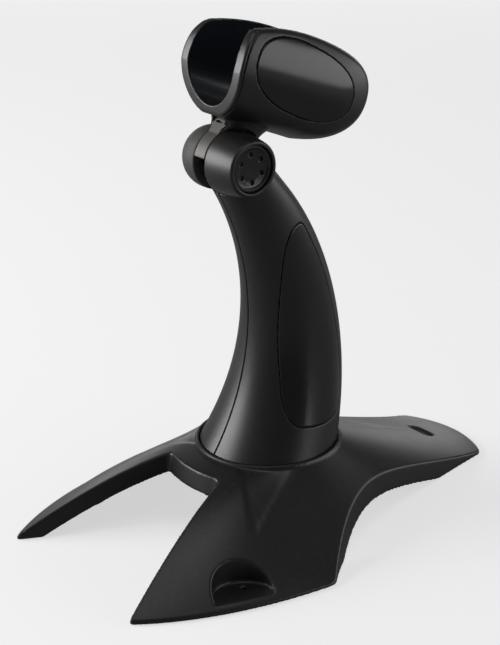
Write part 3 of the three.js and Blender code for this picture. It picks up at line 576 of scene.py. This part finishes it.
# ---------------------------------------------------------------- column
def inlay_outline(grow):
    """Leaf outline of the column's side inlay, anticlockwise in (y, z)."""
    upper = (arc_y(FRONT_ARC, 148) + 13.9, 148)
    lower = (arc_y(FRONT_ARC, 83) + 10, 83)
    corners = [
        [(6, INLAY_HEAD), (-2.6, INLAY_HEAD), upper],
        [upper, (arc_y(FRONT_ARC, 118) + 8.3, 118), lower],
        [lower, (-12.5, INLAY_FOOT), (-2, INLAY_FOOT - 0.5)],
        [(-2, INLAY_FOOT - 0.5), (9, INLAY_FOOT - 2.5), (19, INLAY_FOOT - 1)],
        [(19, INLAY_FOOT - 1), (29, INLAY_FOOT), (30, 82)],
        [(30, 82), (arc_y(BACK_ARC, 118) - 8, 124), (12.5, 157.5)],
        [(12.5, 157.5), (9.5, INLAY_HEAD), (6, INLAY_HEAD)],
    ]
    points = np.concatenate([bezier(corner, 14)[:-1] for corner in corners])
    return offset_outline(points, grow) if grow else points


def inlay_band(side, grow):
    """Skin of the column's side inside the leaf outline; grow adds clearance all round it."""
    skin = cut(column_body(-grow, 46, 180), column_body(INLAY_DEPTH + grow, 45, 181))
    return within(skin, prism(inlay_outline(grow), 2 if side > 0 else -60, 60 if side > 0 else -2, "x"))


def barrel():
    profile = [(BARREL_RADIUS, 0)]
    for share in np.linspace(0, 1, 16):
        x = SLOT_HALF_WIDTH + (BARREL_HALF_LENGTH - SLOT_HALF_WIDTH) * share
        profile.append((BARREL_RADIUS - (BARREL_RADIUS - BARREL_END_RADIUS) * share ** 1.8, x))
    profile[-1:] = [(BARREL_END_RADIUS + 0.2, BARREL_HALF_LENGTH - 0.8),
                    (BARREL_END_RADIUS - 0.5, BARREL_HALF_LENGTH)]
    return turned(profile, (0, HINGE_Y, HINGE_Z))


def swing_room():
    """Room in the column's top for the cradle's tongue and neck as they swing."""
    at = (0, HINGE_Y, HINGE_Z)
    slot = cylinder(BARREL_RADIUS + 0.8, -SLOT_HALF_WIDTH, SLOT_HALF_WIDTH, at)
    back = box((-SWING_HALF_WIDTH, HINGE_Y, HINGE_Z + 1), (SWING_HALF_WIDTH, HINGE_Y + 60, HINGE_Z + 60))
    return join(slot, cut(back, cylinder(BARREL_RADIUS, -30, 30, at)))


def pivot_room():
    """Bore for the bolt, and pockets for its head and the disc."""
    at = (0, HINGE_Y, HINGE_Z)
    room = cylinder(BOLT_RADIUS + GAP, -30, 30, at)
    join(room, cylinder(BOLT_HEAD_RADIUS + GAP, BOLT_HEAD_X, 30, at))
    return join(room, cylinder(DISC_RADIUS + GAP, BARREL_HALF_LENGTH - DISC_RECESS - 2.9, 30, at))


def dome_body(grow):
    """Round cap over the barrel's left end."""
    radius = BARREL_RADIUS - 0.1 + grow
    profile = [(radius - 0.5, SLOT_HALF_WIDTH - grow), (radius, SLOT_HALF_WIDTH - grow + 0.5)]
    for angle in np.linspace(0, math.pi / 2, 24):
        out = DOME_STRAIGHT + (DOME_END + grow - DOME_STRAIGHT) * math.sin(angle)
        profile.append((radius * math.cos(angle), out))
    return turned([(r, -x) for r, x in profile], (0, HINGE_Y, HINGE_Z))


def dome_boss(grow):
    """Round boss inside the dome, with the web that carries it on the column's left half."""
    boss = cylinder(DOME_BOSS_RADIUS + grow, -DOME_SEAT - grow, 3, (0, HINGE_Y, HINGE_Z))
    low = (-DOME_SEAT - grow, HINGE_Y + WEB_FRONT - grow, HINGE_Z - BARREL_RADIUS - 4)
    return join(boss, box(low, (2, HINGE_Y + WEB_BACK + grow, HINGE_Z)))


def column_half(side):
    """One half of the column, drawn solid; the right half has a sunk lip that closes the seam to light."""
    body = column_body(0, SEAT_Z + GAP, COLUMN_TOP_Z)
    cut(body, inlay_band(side, GAP))
    if side > 0:
        join(body, barrel())
        keep = box((GAP / 2, -90, 0), (60, 90, 240))
    else:
        join(cut(body, dome_body(GAP)), dome_boss(0))
        keep = box((-60, -90, 0), (-GAP / 2, 90, 240))
    within(body, keep)
    if side > 0:
        seam_lip = box((-GAP / 2, -90, 0), (2, 90, COLUMN_TOP_Z))
        join(body, within(column_body(SEAM_LIP_INSET, SEAT_Z + GAP, COLUMN_TOP_Z), seam_lip))
    cut(body, swing_room(), pivot_room())
    return soften(body, 0.42, 4)


# ---------------------------------------------------------------- hinge
def hinge_disc():
    out = BARREL_HALF_LENGTH - DISC_RECESS
    profile = [(DISC_RADIUS, out - 2.6), (DISC_RADIUS, out - 0.25), (DISC_RADIUS - 0.25, out),
               (DISC_RADIUS - 1.5, out), (DISC_RADIUS - 2.2, out - 0.7), (6.4, out - 1.2), (0, out - 1.5)]
    at = (0, HINGE_Y, HINGE_Z)
    body = turned(profile, at)
    for number in range(6):
        angle = math.pi * number / 3 + DISC_HOLE_TURN
        spot = (0, HINGE_Y + DISC_HOLE_CIRCLE * math.cos(angle), HINGE_Z + DISC_HOLE_CIRCLE * math.sin(angle))
        cut(body, cylinder(DISC_HOLE_RADIUS, out - 2.3, out + 1, spot, "x", 32))
    return soften(body, 0.2, 2)


def hinge_dome():
    body = cut(dome_body(0), dome_boss(GAP), cylinder(6.6, -16, 0, (0, HINGE_Y, HINGE_Z)))
    return soften(body, 0.4, 3)


# ---------------------------------------------------------------- cradle, in its own frame
FRONT_EDGE = [[(-14, BELLY_H - 6), (-22, BELLY_H + 10), (-25.6, SIDE_H - 2)],
              [(-25.6, SIDE_H - 2), (-27, SIDE_H + 10), (-22.5, 60.5)]]
TOP_EDGE = [[(-22.5, 60.5), (-20.5, 63), (-17, 63.8)], [(-17, 63.8), (2, 70.2), (27, 69.5)]]
REAR_EDGE = [[(27, 69.5), (50, 68.7), (62, 65.4), (64, 54)], [(64, 54), (66, 41), (58, 24.5), (38, 19.6)],
             [(38, 19.6), (30, 17.6), (24, BELLY_H - 6)]]


def joined(curves, count):
    return np.concatenate([bezier(curve, count)[:-1] for curve in curves] + [[curves[-1][-1]]])


def side_outline():
    """Side view of the cradle in (s, h), clockwise from under its front, with its edge radius."""
    front, top, rear = joined(FRONT_EDGE, 16), joined(TOP_EDGE, 16), joined(REAR_EDGE, 22)
    outline = np.concatenate([front, top[1:], rear[1:]])
    outline[:, 1] = np.maximum(outline[:, 1], BELLY_H + 1)
    along = np.linspace(0, 1, len(outline))
    start, end = len(front) / len(outline), (len(front) + len(top)) / len(outline)
    fillet = 1.2 + 1.2 * smooth_step(start * 0.8, start, along)
    fillet = fillet + 4.2 * smooth_step(end - 0.05, end + 0.12, along)
    keep = np.concatenate([[True], np.linalg.norm(np.diff(outline, axis=0), axis=1) > 0.3])
    return outline[keep], fillet[keep]


def cradle_half_width(s, h):
    """Half width of the cradle's outside: round below, leaning in above its widest part."""
    bulge = CRADLE_BULGE * np.maximum(0, 1 - ((s - 20) / 45) ** 2)
    close = 3 * np.maximum(0, (s - 40) / 26) ** 2
    reach = np.where(h < SIDE_H, SIDE_H - BELLY_H, 36)
    return (CRADLE_HALF_WIDTH + bulge - close) * np.sqrt(np.maximum(0.02, 1 - ((h - SIDE_H) / reach) ** 2))


def cradle_body(inset=0):
    """Outer body of the cradle: two crowned sides whose edges turn in round the side view's outline."""
    outline, fillet = side_outline()
    middle = np.array([18.0, 45.0])
    rings = []
    for share in np.concatenate([np.linspace(0.03, 0.72, 12), 1 - 0.28 * np.linspace(0.9, 0, 18) ** 1.5]):
        plan = middle + (outline - middle) * share
        inward = np.minimum(fillet, (1 - share) * np.linalg.norm(outline - middle, axis=1))
        turn_in = fillet - np.sqrt(fillet ** 2 - (fillet - inward) ** 2)
        half = np.maximum(1, cradle_half_width(plan[:, 0], plan[:, 1]) - turn_in - inset)
        rings.append(np.stack([half, plan[:, 0], plan[:, 1]], 1))
    return loft(rings + [ring * (-1, 1, 1) for ring in rings[::-1]])


def trough(grow):
    rings = []
    angle = -math.pi / 2 + 2 * math.pi * np.arange(96) / 96
    up = np.sin(angle)
    half = TROUGH_HALF_WIDTH + grow
    h = np.where(up < 0, SIDE_H + (SIDE_H - TROUGH_H + grow) * up, SIDE_H + 40 * up)
    for s in np.linspace(-60, 90, 24):
        rings.append(np.stack([half * np.cos(angle), np.full(96, s), h], 1))
    above = TROUGH_HALF_WIDTH * 0.62 + grow
    return join(loft(rings), box((-above, -60, SIDE_H), (above, 90, 120)))


def rim_zone(depth):
    """Everything in front of the cradle's front edge, drawn back by a depth."""
    edge = joined(FRONT_EDGE, 16) + (depth, 0)
    outline = np.concatenate([edge, [(edge[-1][0] + 2.5, 90), (-60, 90), (-60, BELLY_H - 6)]])
    return within(prism(outline, -60, 60, "x"), box((-60, -70, BELLY_H - 1), (60, 60, 95)))


def rounded_ring(half_width, front, back, h, count=96):
    angle = np.linspace(0, 2 * math.pi, count, endpoint=False)
    x = half_width * signed_power(np.cos(angle), 0.7)
    y = (front + back) / 2 + (back - front) / 2 * signed_power(np.sin(angle), 0.7)
    return np.stack([x, y, np.full(count, h)], 1)


def neck_body():
    rings = []
    for up in np.linspace(0, 1, 24):
        h = 8 + (NECK_TOP + 4 - 8) * up
        rings.append(rounded_ring(8.4 + 7 * up ** 2.4, -10.5 - 2.2 * up, 12.5 + 14 * up ** 2.6, h))
    return within(loft(rings), box((-40, -40, 0), (40, 60, NECK_TOP)))


def tongue_head(grow):
    """Front of the tongue's root: the strip spreads here, under the rim."""
    narrow = TONGUE_HALF_WIDTH + grow
    wide = HEAD_HALF_WIDTH + grow
    low, bend, top = HEAD_BOTTOM - grow, HEAD_WIDEST - grow, HEAD_TOP + grow
    front_view = [(-narrow, low), (narrow, low), (wide, bend), (wide, top), (-wide, top), (-wide, bend)]
    rings = []
    for s in (HEAD_FRONT - grow, HEAD_BACK + grow):
        rings.append([(x, s + (h - HEAD_BOTTOM) * HEAD_LEAN, h) for x, h in front_view])
    return loft(rings)


def cradle_tongue():
    """Hub and shroud that fill the slot of the barrel, and the strip that runs up into the neck."""
    w = TONGUE_HALF_WIDTH
    angles = np.linspace(math.pi + 0.15, math.pi * 0.05, 80)
    sector = np.concatenate([[(0, 0)], np.stack([np.cos(angles), np.sin(angles)], 1) * BARREL_RADIUS])
    body = join(cylinder(9.5, -w, w), prism(sector, -w, w, "x"))
    join(body, prism([(-12.6, 8), (-9.4, BELLY_H + 0.5), (11, BELLY_H + 0.5), (12, 8)], -w, w, "x"))
    root = box((-ROOT_HALF_WIDTH, ROOT_FRONT, ROOT_BOTTOM), (ROOT_HALF_WIDTH, ROOT_BACK, ROOT_TOP))
    join(body, root, tongue_head(0))
    return cut(body, box((-SLIT_HALF_WIDTH, -20, SLIT_BOTTOM), (SLIT_HALF_WIDTH, SLIT_BACK, SLIT_TOP)))


def oval_plan(grow):
    angle = np.linspace(0, 2 * math.pi, 120, endpoint=False)
    a = (OVAL_HALF_LENGTH + grow) * signed_power(np.cos(angle), OVAL_SQUARENESS)
    b = (OVAL_HALF_HEIGHT + grow) * signed_power(np.sin(angle), OVAL_SQUARENESS)
    s = OVAL_MIDDLE[0] + a * math.cos(OVAL_TURN) - b * math.sin(OVAL_TURN)
    h = OVAL_MIDDLE[1] + a * math.sin(OVAL_TURN) + b * math.cos(OVAL_TURN)
    return np.stack([s, h], 1)


def oval_band(side, grow):
    skin = cut(cradle_body(-grow), cradle_body(INLAY_DEPTH + grow))
    return within(skin, prism(oval_plan(grow), 6 if side > 0 else -60, 60 if side > 0 else -6, "x"))


def tongue_room():
    w = TONGUE_HALF_WIDTH + GAP
    low = (-ROOT_HALF_WIDTH - GAP, ROOT_FRONT - GAP, 0)
    root = box(low, (ROOT_HALF_WIDTH + GAP, ROOT_BACK + GAP, ROOT_TOP + GAP))
    return join(root, box((-w, -40, 0), (w, 15, BELLY_H + 0.8)), tongue_head(GAP))


def cradle_shell():
    body = join(cradle_body(), neck_body())
    cut(body, trough(LINER_WALL + GAP), rim_zone(RIM_DEPTH + GAP))
    cut(body, cylinder(BARREL_RADIUS + NECK_CLEARANCE + GAP, -60, 60), tongue_room())
    for side in (1, -1):
        cut(body, oval_band(side, GAP))
    return soften(body, 0.5, 4)


def cradle_liner():
    body = cut(cradle_body(), trough(0))
    within(body, join(trough(LINER_WALL), rim_zone(RIM_DEPTH)))
    return soften(body, 0.45, 3)


# ---------------------------------------------------------------- finishes
def new_group(name, inputs, outputs):
    """An empty shader node group with float inputs given as (name, default) and named outputs."""
    group = bpy.data.node_groups.new(name, "ShaderNodeTree")
    for label, default in inputs:
        socket = group.interface.new_socket(name=label, in_out="INPUT", socket_type="NodeSocketFloat")
        socket.default_value = default
    for label, kind in outputs:
        group.interface.new_socket(name=label, in_out="OUTPUT", socket_type=kind)
    return group, group.nodes.new("NodeGroupInput"), group.nodes.new("NodeGroupOutput")


def link(tree, source, target):
    tree.links.new(source, target)


def noise(tree, coordinates, scale, detail=3.0, roughness=0.55):
    node = tree.nodes.new("ShaderNodeTexNoise")
    node.inputs["Scale"].default_value = scale
    node.inputs["Detail"].default_value = detail
    node.inputs["Roughness"].default_value = roughness
    link(tree, coordinates, node.inputs["Vector"])
    return node


def remap(tree, value, low, high, to_low=0.0, to_high=1.0):
    node = tree.nodes.new("ShaderNodeMapRange")
    node.inputs["From Min"].default_value = low
    node.inputs["From Max"].default_value = high
    node.inputs["To Min"].default_value = to_low
    node.inputs["To Max"].default_value = to_high
    link(tree, value, node.inputs["Value"])
    return node


def maths(tree, operation, a, b):
    node = tree.nodes.new("ShaderNodeMath")
    node.operation = operation
    for socket, value in zip(node.inputs, (a, b)):
        if isinstance(value, (int, float)):
            socket.default_value = value
        else:
            link(tree, value, socket)
    return node.outputs["Value"]


def moulded_grain_group():
    """Spark-eroded mould grain: height for a bump, and a slow mottling of sheen."""
    inputs = [("Grain Size", 1800.0), ("Mottling", 0.06), ("Roughness", 0.4)]
    outputs = [("Height", "NodeSocketFloat"), ("Roughness", "NodeSocketFloat")]
    group, given, out = new_group("Moulded grain", inputs, outputs)
    place_node = group.nodes.new("ShaderNodeTexCoord").outputs["Object"]
    grain = noise(group, place_node, 1800, 2, 0.6)
    link(group, given.outputs["Grain Size"], grain.inputs["Scale"])
    link(group, grain.outputs["Fac"], out.inputs["Height"])
    slow = noise(group, place_node, 34, 3, 0.5)
    centred = maths(group, "SUBTRACT", slow.outputs["Fac"], 0.5)
    amount = maths(group, "MULTIPLY", centred, given.outputs["Mottling"])
    fine = maths(group, "MULTIPLY", maths(group, "SUBTRACT", grain.outputs["Fac"], 0.5), 0.12)
    total = maths(group, "ADD", maths(group, "ADD", amount, fine), given.outputs["Roughness"])
    link(group, total, out.inputs["Roughness"])
    return group


def painted_edge_highlight_group():
    """Mask of the painted edge highlight: where the surface is sharply convex, broken up by a noise."""
    group, given, out = new_group("Edge wear", [("Amount", 0.5)], [("Mask", "NodeSocketFloat")])
    # painted highlight: a lighter colour where pointiness marks a sharp convex edge
    sharp = remap(group, group.nodes.new("ShaderNodeNewGeometry").outputs["Pointiness"], 0.52, 0.6)
    place_node = group.nodes.new("ShaderNodeTexCoord").outputs["Object"]
    patch = remap(group, noise(group, place_node, 90, 4, 0.6).outputs["Fac"], 0.35, 0.7)
    painted_edge_light = maths(group, "MULTIPLY", sharp.outputs["Result"], patch.outputs["Result"])
    link(group, maths(group, "MULTIPLY", painted_edge_light, given.outputs["Amount"]), out.inputs["Mask"])
    return group


def dust_group():
    """Mask of fine dust and wiping marks that lie on upward faces."""
    group, given, out = new_group("Fine dust", [("Amount", 0.3)], [("Mask", "NodeSocketFloat")])
    parts = group.nodes.new("ShaderNodeSeparateXYZ")
    link(group, group.nodes.new("ShaderNodeNewGeometry").outputs["Normal"], parts.inputs["Vector"])
    up = remap(group, parts.outputs["Z"], 0.3, 1.0)
    place_node = group.nodes.new("ShaderNodeTexCoord").outputs["Object"]
    specks = remap(group, noise(group, place_node, 420, 5, 0.75).outputs["Fac"], 0.5, 0.75)
    lying = maths(group, "MULTIPLY", up.outputs["Result"], specks.outputs["Result"])
    link(group, maths(group, "MULTIPLY", lying, given.outputs["Amount"]), out.inputs["Mask"])
    return group


moulded_grain = moulded_grain_group()
painted_edge_highlight = painted_edge_highlight_group()
fine_dust = dust_group()


def use_group(tree, group, **values):
    node = tree.nodes.new("ShaderNodeGroup")
    node.node_tree = group
    for label, value in values.items():
        node.inputs[label.replace("_", " ")].default_value = value
    return node


def mix_colour(tree, factor, first, second):
    node = tree.nodes.new("ShaderNodeMix")
    node.data_type = "RGBA"
    link(tree, factor, node.inputs["Factor"])
    for socket, value in ((node.inputs[6], first), (node.inputs[7], second)):
        if isinstance(value, tuple):
            socket.default_value = (*value, 1)
        else:
            link(tree, value, socket)
    return node.outputs[2]


def plastic(name, colour, painted_edge_light, dusty, roughness, grain_size, grain_depth, mottling, highlight=0.5, dust=0.25):
    """Moulded plastic: mottled sheen, mould grain, a painted highlight on sharp convex edges and a trace of dust.
    """
    material = bpy.data.materials.new(name)
    material.use_nodes = True
    tree = material.node_tree
    shader = tree.nodes["Principled BSDF"]
    grain = use_group(tree, moulded_grain, Grain_Size=grain_size, Mottling=mottling, Roughness=roughness)
    link(tree, grain.outputs["Roughness"], shader.inputs["Roughness"])
    edges = use_group(tree, painted_edge_highlight, Amount=highlight)
    powder = use_group(tree, fine_dust, Amount=dust)
    # painted edge highlight: the second colour is mixed in along sharp convex edges
    base = mix_colour(tree, edges.outputs["Mask"], colour, painted_edge_light)
    link(tree, mix_colour(tree, powder.outputs["Mask"], base, dusty), shader.inputs["Base Color"])
    bump = tree.nodes.new("ShaderNodeBump")
    bump.inputs["Strength"].default_value = 0.5
    bump.inputs["Distance"].default_value = grain_depth * MM
    link(tree, grain.outputs["Height"], bump.inputs["Height"])
    link(tree, bump.outputs["Normal"], shader.inputs["Normal"])
    shader.inputs["Specular IOR Level"].default_value = 0.5
    return material


def speckled_plastic():
    """The hinge cap's matte plastic with pale mineral specks."""
    # the second colour is the painted edge highlight
    material = plastic("Speckled cap plastic", (0.042, 0.042, 0.041), (0.07, 0.07, 0.07), (0.12, 0.12, 0.12),
                       0.62, 1500, 0.05, 0.05)
    tree = material.node_tree
    shader = tree.nodes["Principled BSDF"]
    plain = shader.inputs["Base Color"].links[0].from_socket
    cells = tree.nodes.new("ShaderNodeTexVoronoi")
    cells.inputs["Scale"].default_value = 1500
    link(tree, tree.nodes.new("ShaderNodeTexCoord").outputs["Object"], cells.inputs["Vector"])
    specks = remap(tree, cells.outputs["Distance"], 0.30, 0.22)
    thin = maths(tree, "MULTIPLY", specks.outputs["Result"], 0.5)
    link(tree, mix_colour(tree, thin, plain, (0.19, 0.19, 0.18)), shader.inputs["Base Color"])
    return material


def brushed_steel():
    """Zinc plated steel with fine brushing and a little tarnish."""
    material = bpy.data.materials.new("Zinc plated steel")
    material.use_nodes = True
    tree = material.node_tree
    shader = tree.nodes["Principled BSDF"]
    shader.inputs["Metallic"].default_value = 1.0
    stretch = tree.nodes.new("ShaderNodeMapping")
    stretch.inputs["Scale"].default_value = (1, 1, 24)
    link(tree, tree.nodes.new("ShaderNodeTexCoord").outputs["Object"], stretch.inputs["Vector"])
    lines = noise(tree, stretch.outputs["Vector"], 260, 4, 0.6)
    sheen = remap(tree, lines.outputs["Fac"], 0.2, 0.8, 0.22, 0.42)
    link(tree, sheen.outputs["Result"], shader.inputs["Roughness"])
    clouds = noise(tree, stretch.inputs["Vector"].links[0].from_socket, 120, 4, 0.6)
    tarnish = remap(tree, clouds.outputs["Fac"], 0.4, 0.8)
    colour = mix_colour(tree, tarnish.outputs["Result"], (0.56, 0.57, 0.58), (0.44, 0.43, 0.40))
    link(tree, colour, shader.inputs["Base Color"])
    return material


# the second colour of each finish is its painted edge highlight
satin = plastic("Satin black shell", (0.010, 0.010, 0.011), (0.035, 0.035, 0.036), (0.07, 0.07, 0.068),
                0.38, 2100, 0.035, 0.10)
rim_satin = plastic("Satin rim strip", (0.013, 0.013, 0.014), (0.045, 0.045, 0.045), (0.07, 0.07, 0.068),
                    0.36, 2100, 0.03, 0.08)
polished = plastic("Polished black inlay", (0.0045, 0.0045, 0.0052), (0.02, 0.02, 0.021), (0.05, 0.05, 0.05),
                   0.17, 900, 0.004, 0.03, 0.3, 0.12)
trough_finish = plastic("Polished blue-black trough", (0.012, 0.016, 0.021), (0.03, 0.034, 0.038),
                        (0.05, 0.05, 0.05), 0.20, 900, 0.004, 0.03, 0.3, 0.12)
leaf_finish = plastic("Semi-gloss leaf inlay", (0.008, 0.008, 0.009), (0.02, 0.02, 0.021), (0.05, 0.05, 0.05),
                      0.20, 2100, 0.012, 0.05, 0.3, 0.12)
tongue_plastic = plastic("Grey-brown tongue plastic", (0.085, 0.080, 0.074), (0.12, 0.115, 0.11),
                         (0.09, 0.088, 0.085), 0.46, 1800, 0.04, 0.08)
pad_rubber = plastic("Matt pad rubber", (0.010, 0.010, 0.010), (0.03, 0.03, 0.03), (0.08, 0.078, 0.075),
                     0.82, 1200, 0.09, 0.10)
speckled = speckled_plastic()
steel = brushed_steel()


# ---------------------------------------------------------------- the stand's pieces
place(base_shell(), "moulded_base", stand_to_frame, satin, "stand", "shell", "base_shell")
for side, word in ((1, "right"), (-1, "left")):
    place(column_half(side), f"column_half_{word}", stand_to_frame, satin, "stand", "shell", f"column_{word}")
    leaf = soften(inlay_band(side, 0), 0.36, 3)
    place(leaf, f"column_leaf_{word}", stand_to_frame, leaf_finish, "stand", "gloss", f"column_inlay_{word}")
    oval = soften(oval_band(side, 0), 0.4, 2)
    place(oval, f"cradle_oval_{word}", cradle_to_frame, polished, "cradle", "gloss", f"cradle_inlay_{word}")
place(hinge_disc(), "hinge_end_disc", stand_to_frame, leaf_finish, "stand", "shell", "hinge_disc")
place(hinge_dome(), "hinge_cap", stand_to_frame, speckled, "stand", "dome", "hinge_dome")
place(cradle_shell(), "cradle_outer", cradle_to_frame, satin, "cradle", "shell", "cradle_shell")
liner = cradle_liner()
place(liner, "cradle_lining", cradle_to_frame, trough_finish, "cradle", "gloss", "cradle_liner")
tongue = soften(cradle_tongue(), 0.3, 3)
place(tongue, "tilt_tongue", cradle_to_frame, tongue_plastic, "cradle", "tongue", "cradle_tongue")


def split_rim(piece):
    """Gives the lining's front strip and outer skin the satin finish; the trough stays polished."""
    piece.data.materials.append(rim_satin)
    to_cradle = cradle_to_frame.inverted()
    for face in piece.data.polygons:
        x, s, h = to_cradle @ face.center
        reach = 40 if h > SIDE_H else SIDE_H - TROUGH_H
        inside = TROUGH_HALF_WIDTH * math.sqrt(max(0, 1 - ((h - SIDE_H) / reach) ** 2))
        if abs(x) > inside + 0.35 or (h < TROUGH_H - 0.4) or face.normal.y < -0.8:
            face.material_index = 1


split_rim(liner)

finish_of_slot = {"shell": satin, "gloss": polished, "tongue": tongue_plastic, "dome": speckled,
                  "rubber": pad_rubber, "steel": steel}
for entry in frame["record"]["subparts"]:
    node = frame["nodes"][entry["node"]]
    node.data.materials.clear()
    node.data.materials.append(finish_of_slot[entry["material_slot"]])


# ---------------------------------------------------------------- floor, light and camera
def studio_floor():
    floor = mesh_object("floor", [(-6, -6, 0), (6, -6, 0), (6, 6, 0), (-6, 6, 0)], [(0, 1, 2, 3)])
    material = bpy.data.materials.new("Pale floor")
    material.use_nodes = True
    tree = material.node_tree
    shader = tree.nodes["Principled BSDF"]
    shader.inputs["Base Color"].default_value = (0.36, 0.36, 0.36, 1)
    shader.inputs["Roughness"].default_value = 0.9
    shader.inputs["Emission Color"].default_value = (1, 1, 1, 1)
    seen = tree.nodes.new("ShaderNodeLightPath").outputs["Is Camera Ray"]
    link(tree, maths(tree, "MULTIPLY", seen, 0.62), shader.inputs["Emission Strength"])
    floor.data.materials.append(material)


def soft_light(name, spot, size, power, aim=(0, 0, 0.13)):
    data = bpy.data.lights.new(name, "AREA")
    data.shape = "RECTANGLE"
    data.size, data.size_y = size
    data.energy = power
    lamp = bpy.data.objects.new(name, data)
    bpy.context.scene.collection.objects.link(lamp)
    lamp.location = spot
    lamp.rotation_euler = (Vector(aim) - Vector(spot)).to_track_quat("-Z", "Y").to_euler()


def studio():
    studio_floor()
    world = bpy.data.worlds.new("studio")
    bpy.context.scene.world = world
    world.use_nodes = True
    world.node_tree.nodes["Background"].inputs["Color"].default_value = (1, 1, 1, 1)
    world.node_tree.nodes["Background"].inputs["Strength"].default_value = 0.10
    soft_light("key box, front left", (-1.0, -1.25, 0.60), (1.1, 0.9), 30)
    soft_light("horizon strip, rear left", (-1.9, 1.4, 0.35), (2.4, 0.6), 9)
    soft_light("side box, right rear", (1.3, 1.55, 0.50), (3.0, 0.80), 17)
    soft_light("overhead fill", (0.2, -0.1, 2.0), (1.2, 1.2), 6)


def camera_at(spot, azimuth, elevation, lens):
    data = bpy.data.cameras.new("camera")
    data.lens = lens
    data.sensor_width = 36
    camera = bpy.data.objects.new("camera", data)
    bpy.context.scene.collection.objects.link(camera)
    camera.location = stand_to_frame @ Vector(spot)
    camera.rotation_euler = (math.radians(90 - elevation), 0, math.radians(azimuth))
    bpy.context.scene.camera = camera


studio()
camera_at((570.65, -474.15, 403.72), 51.05, 21.81, 85.38)
bpy.context.scene.view_settings.view_transform = "Standard"
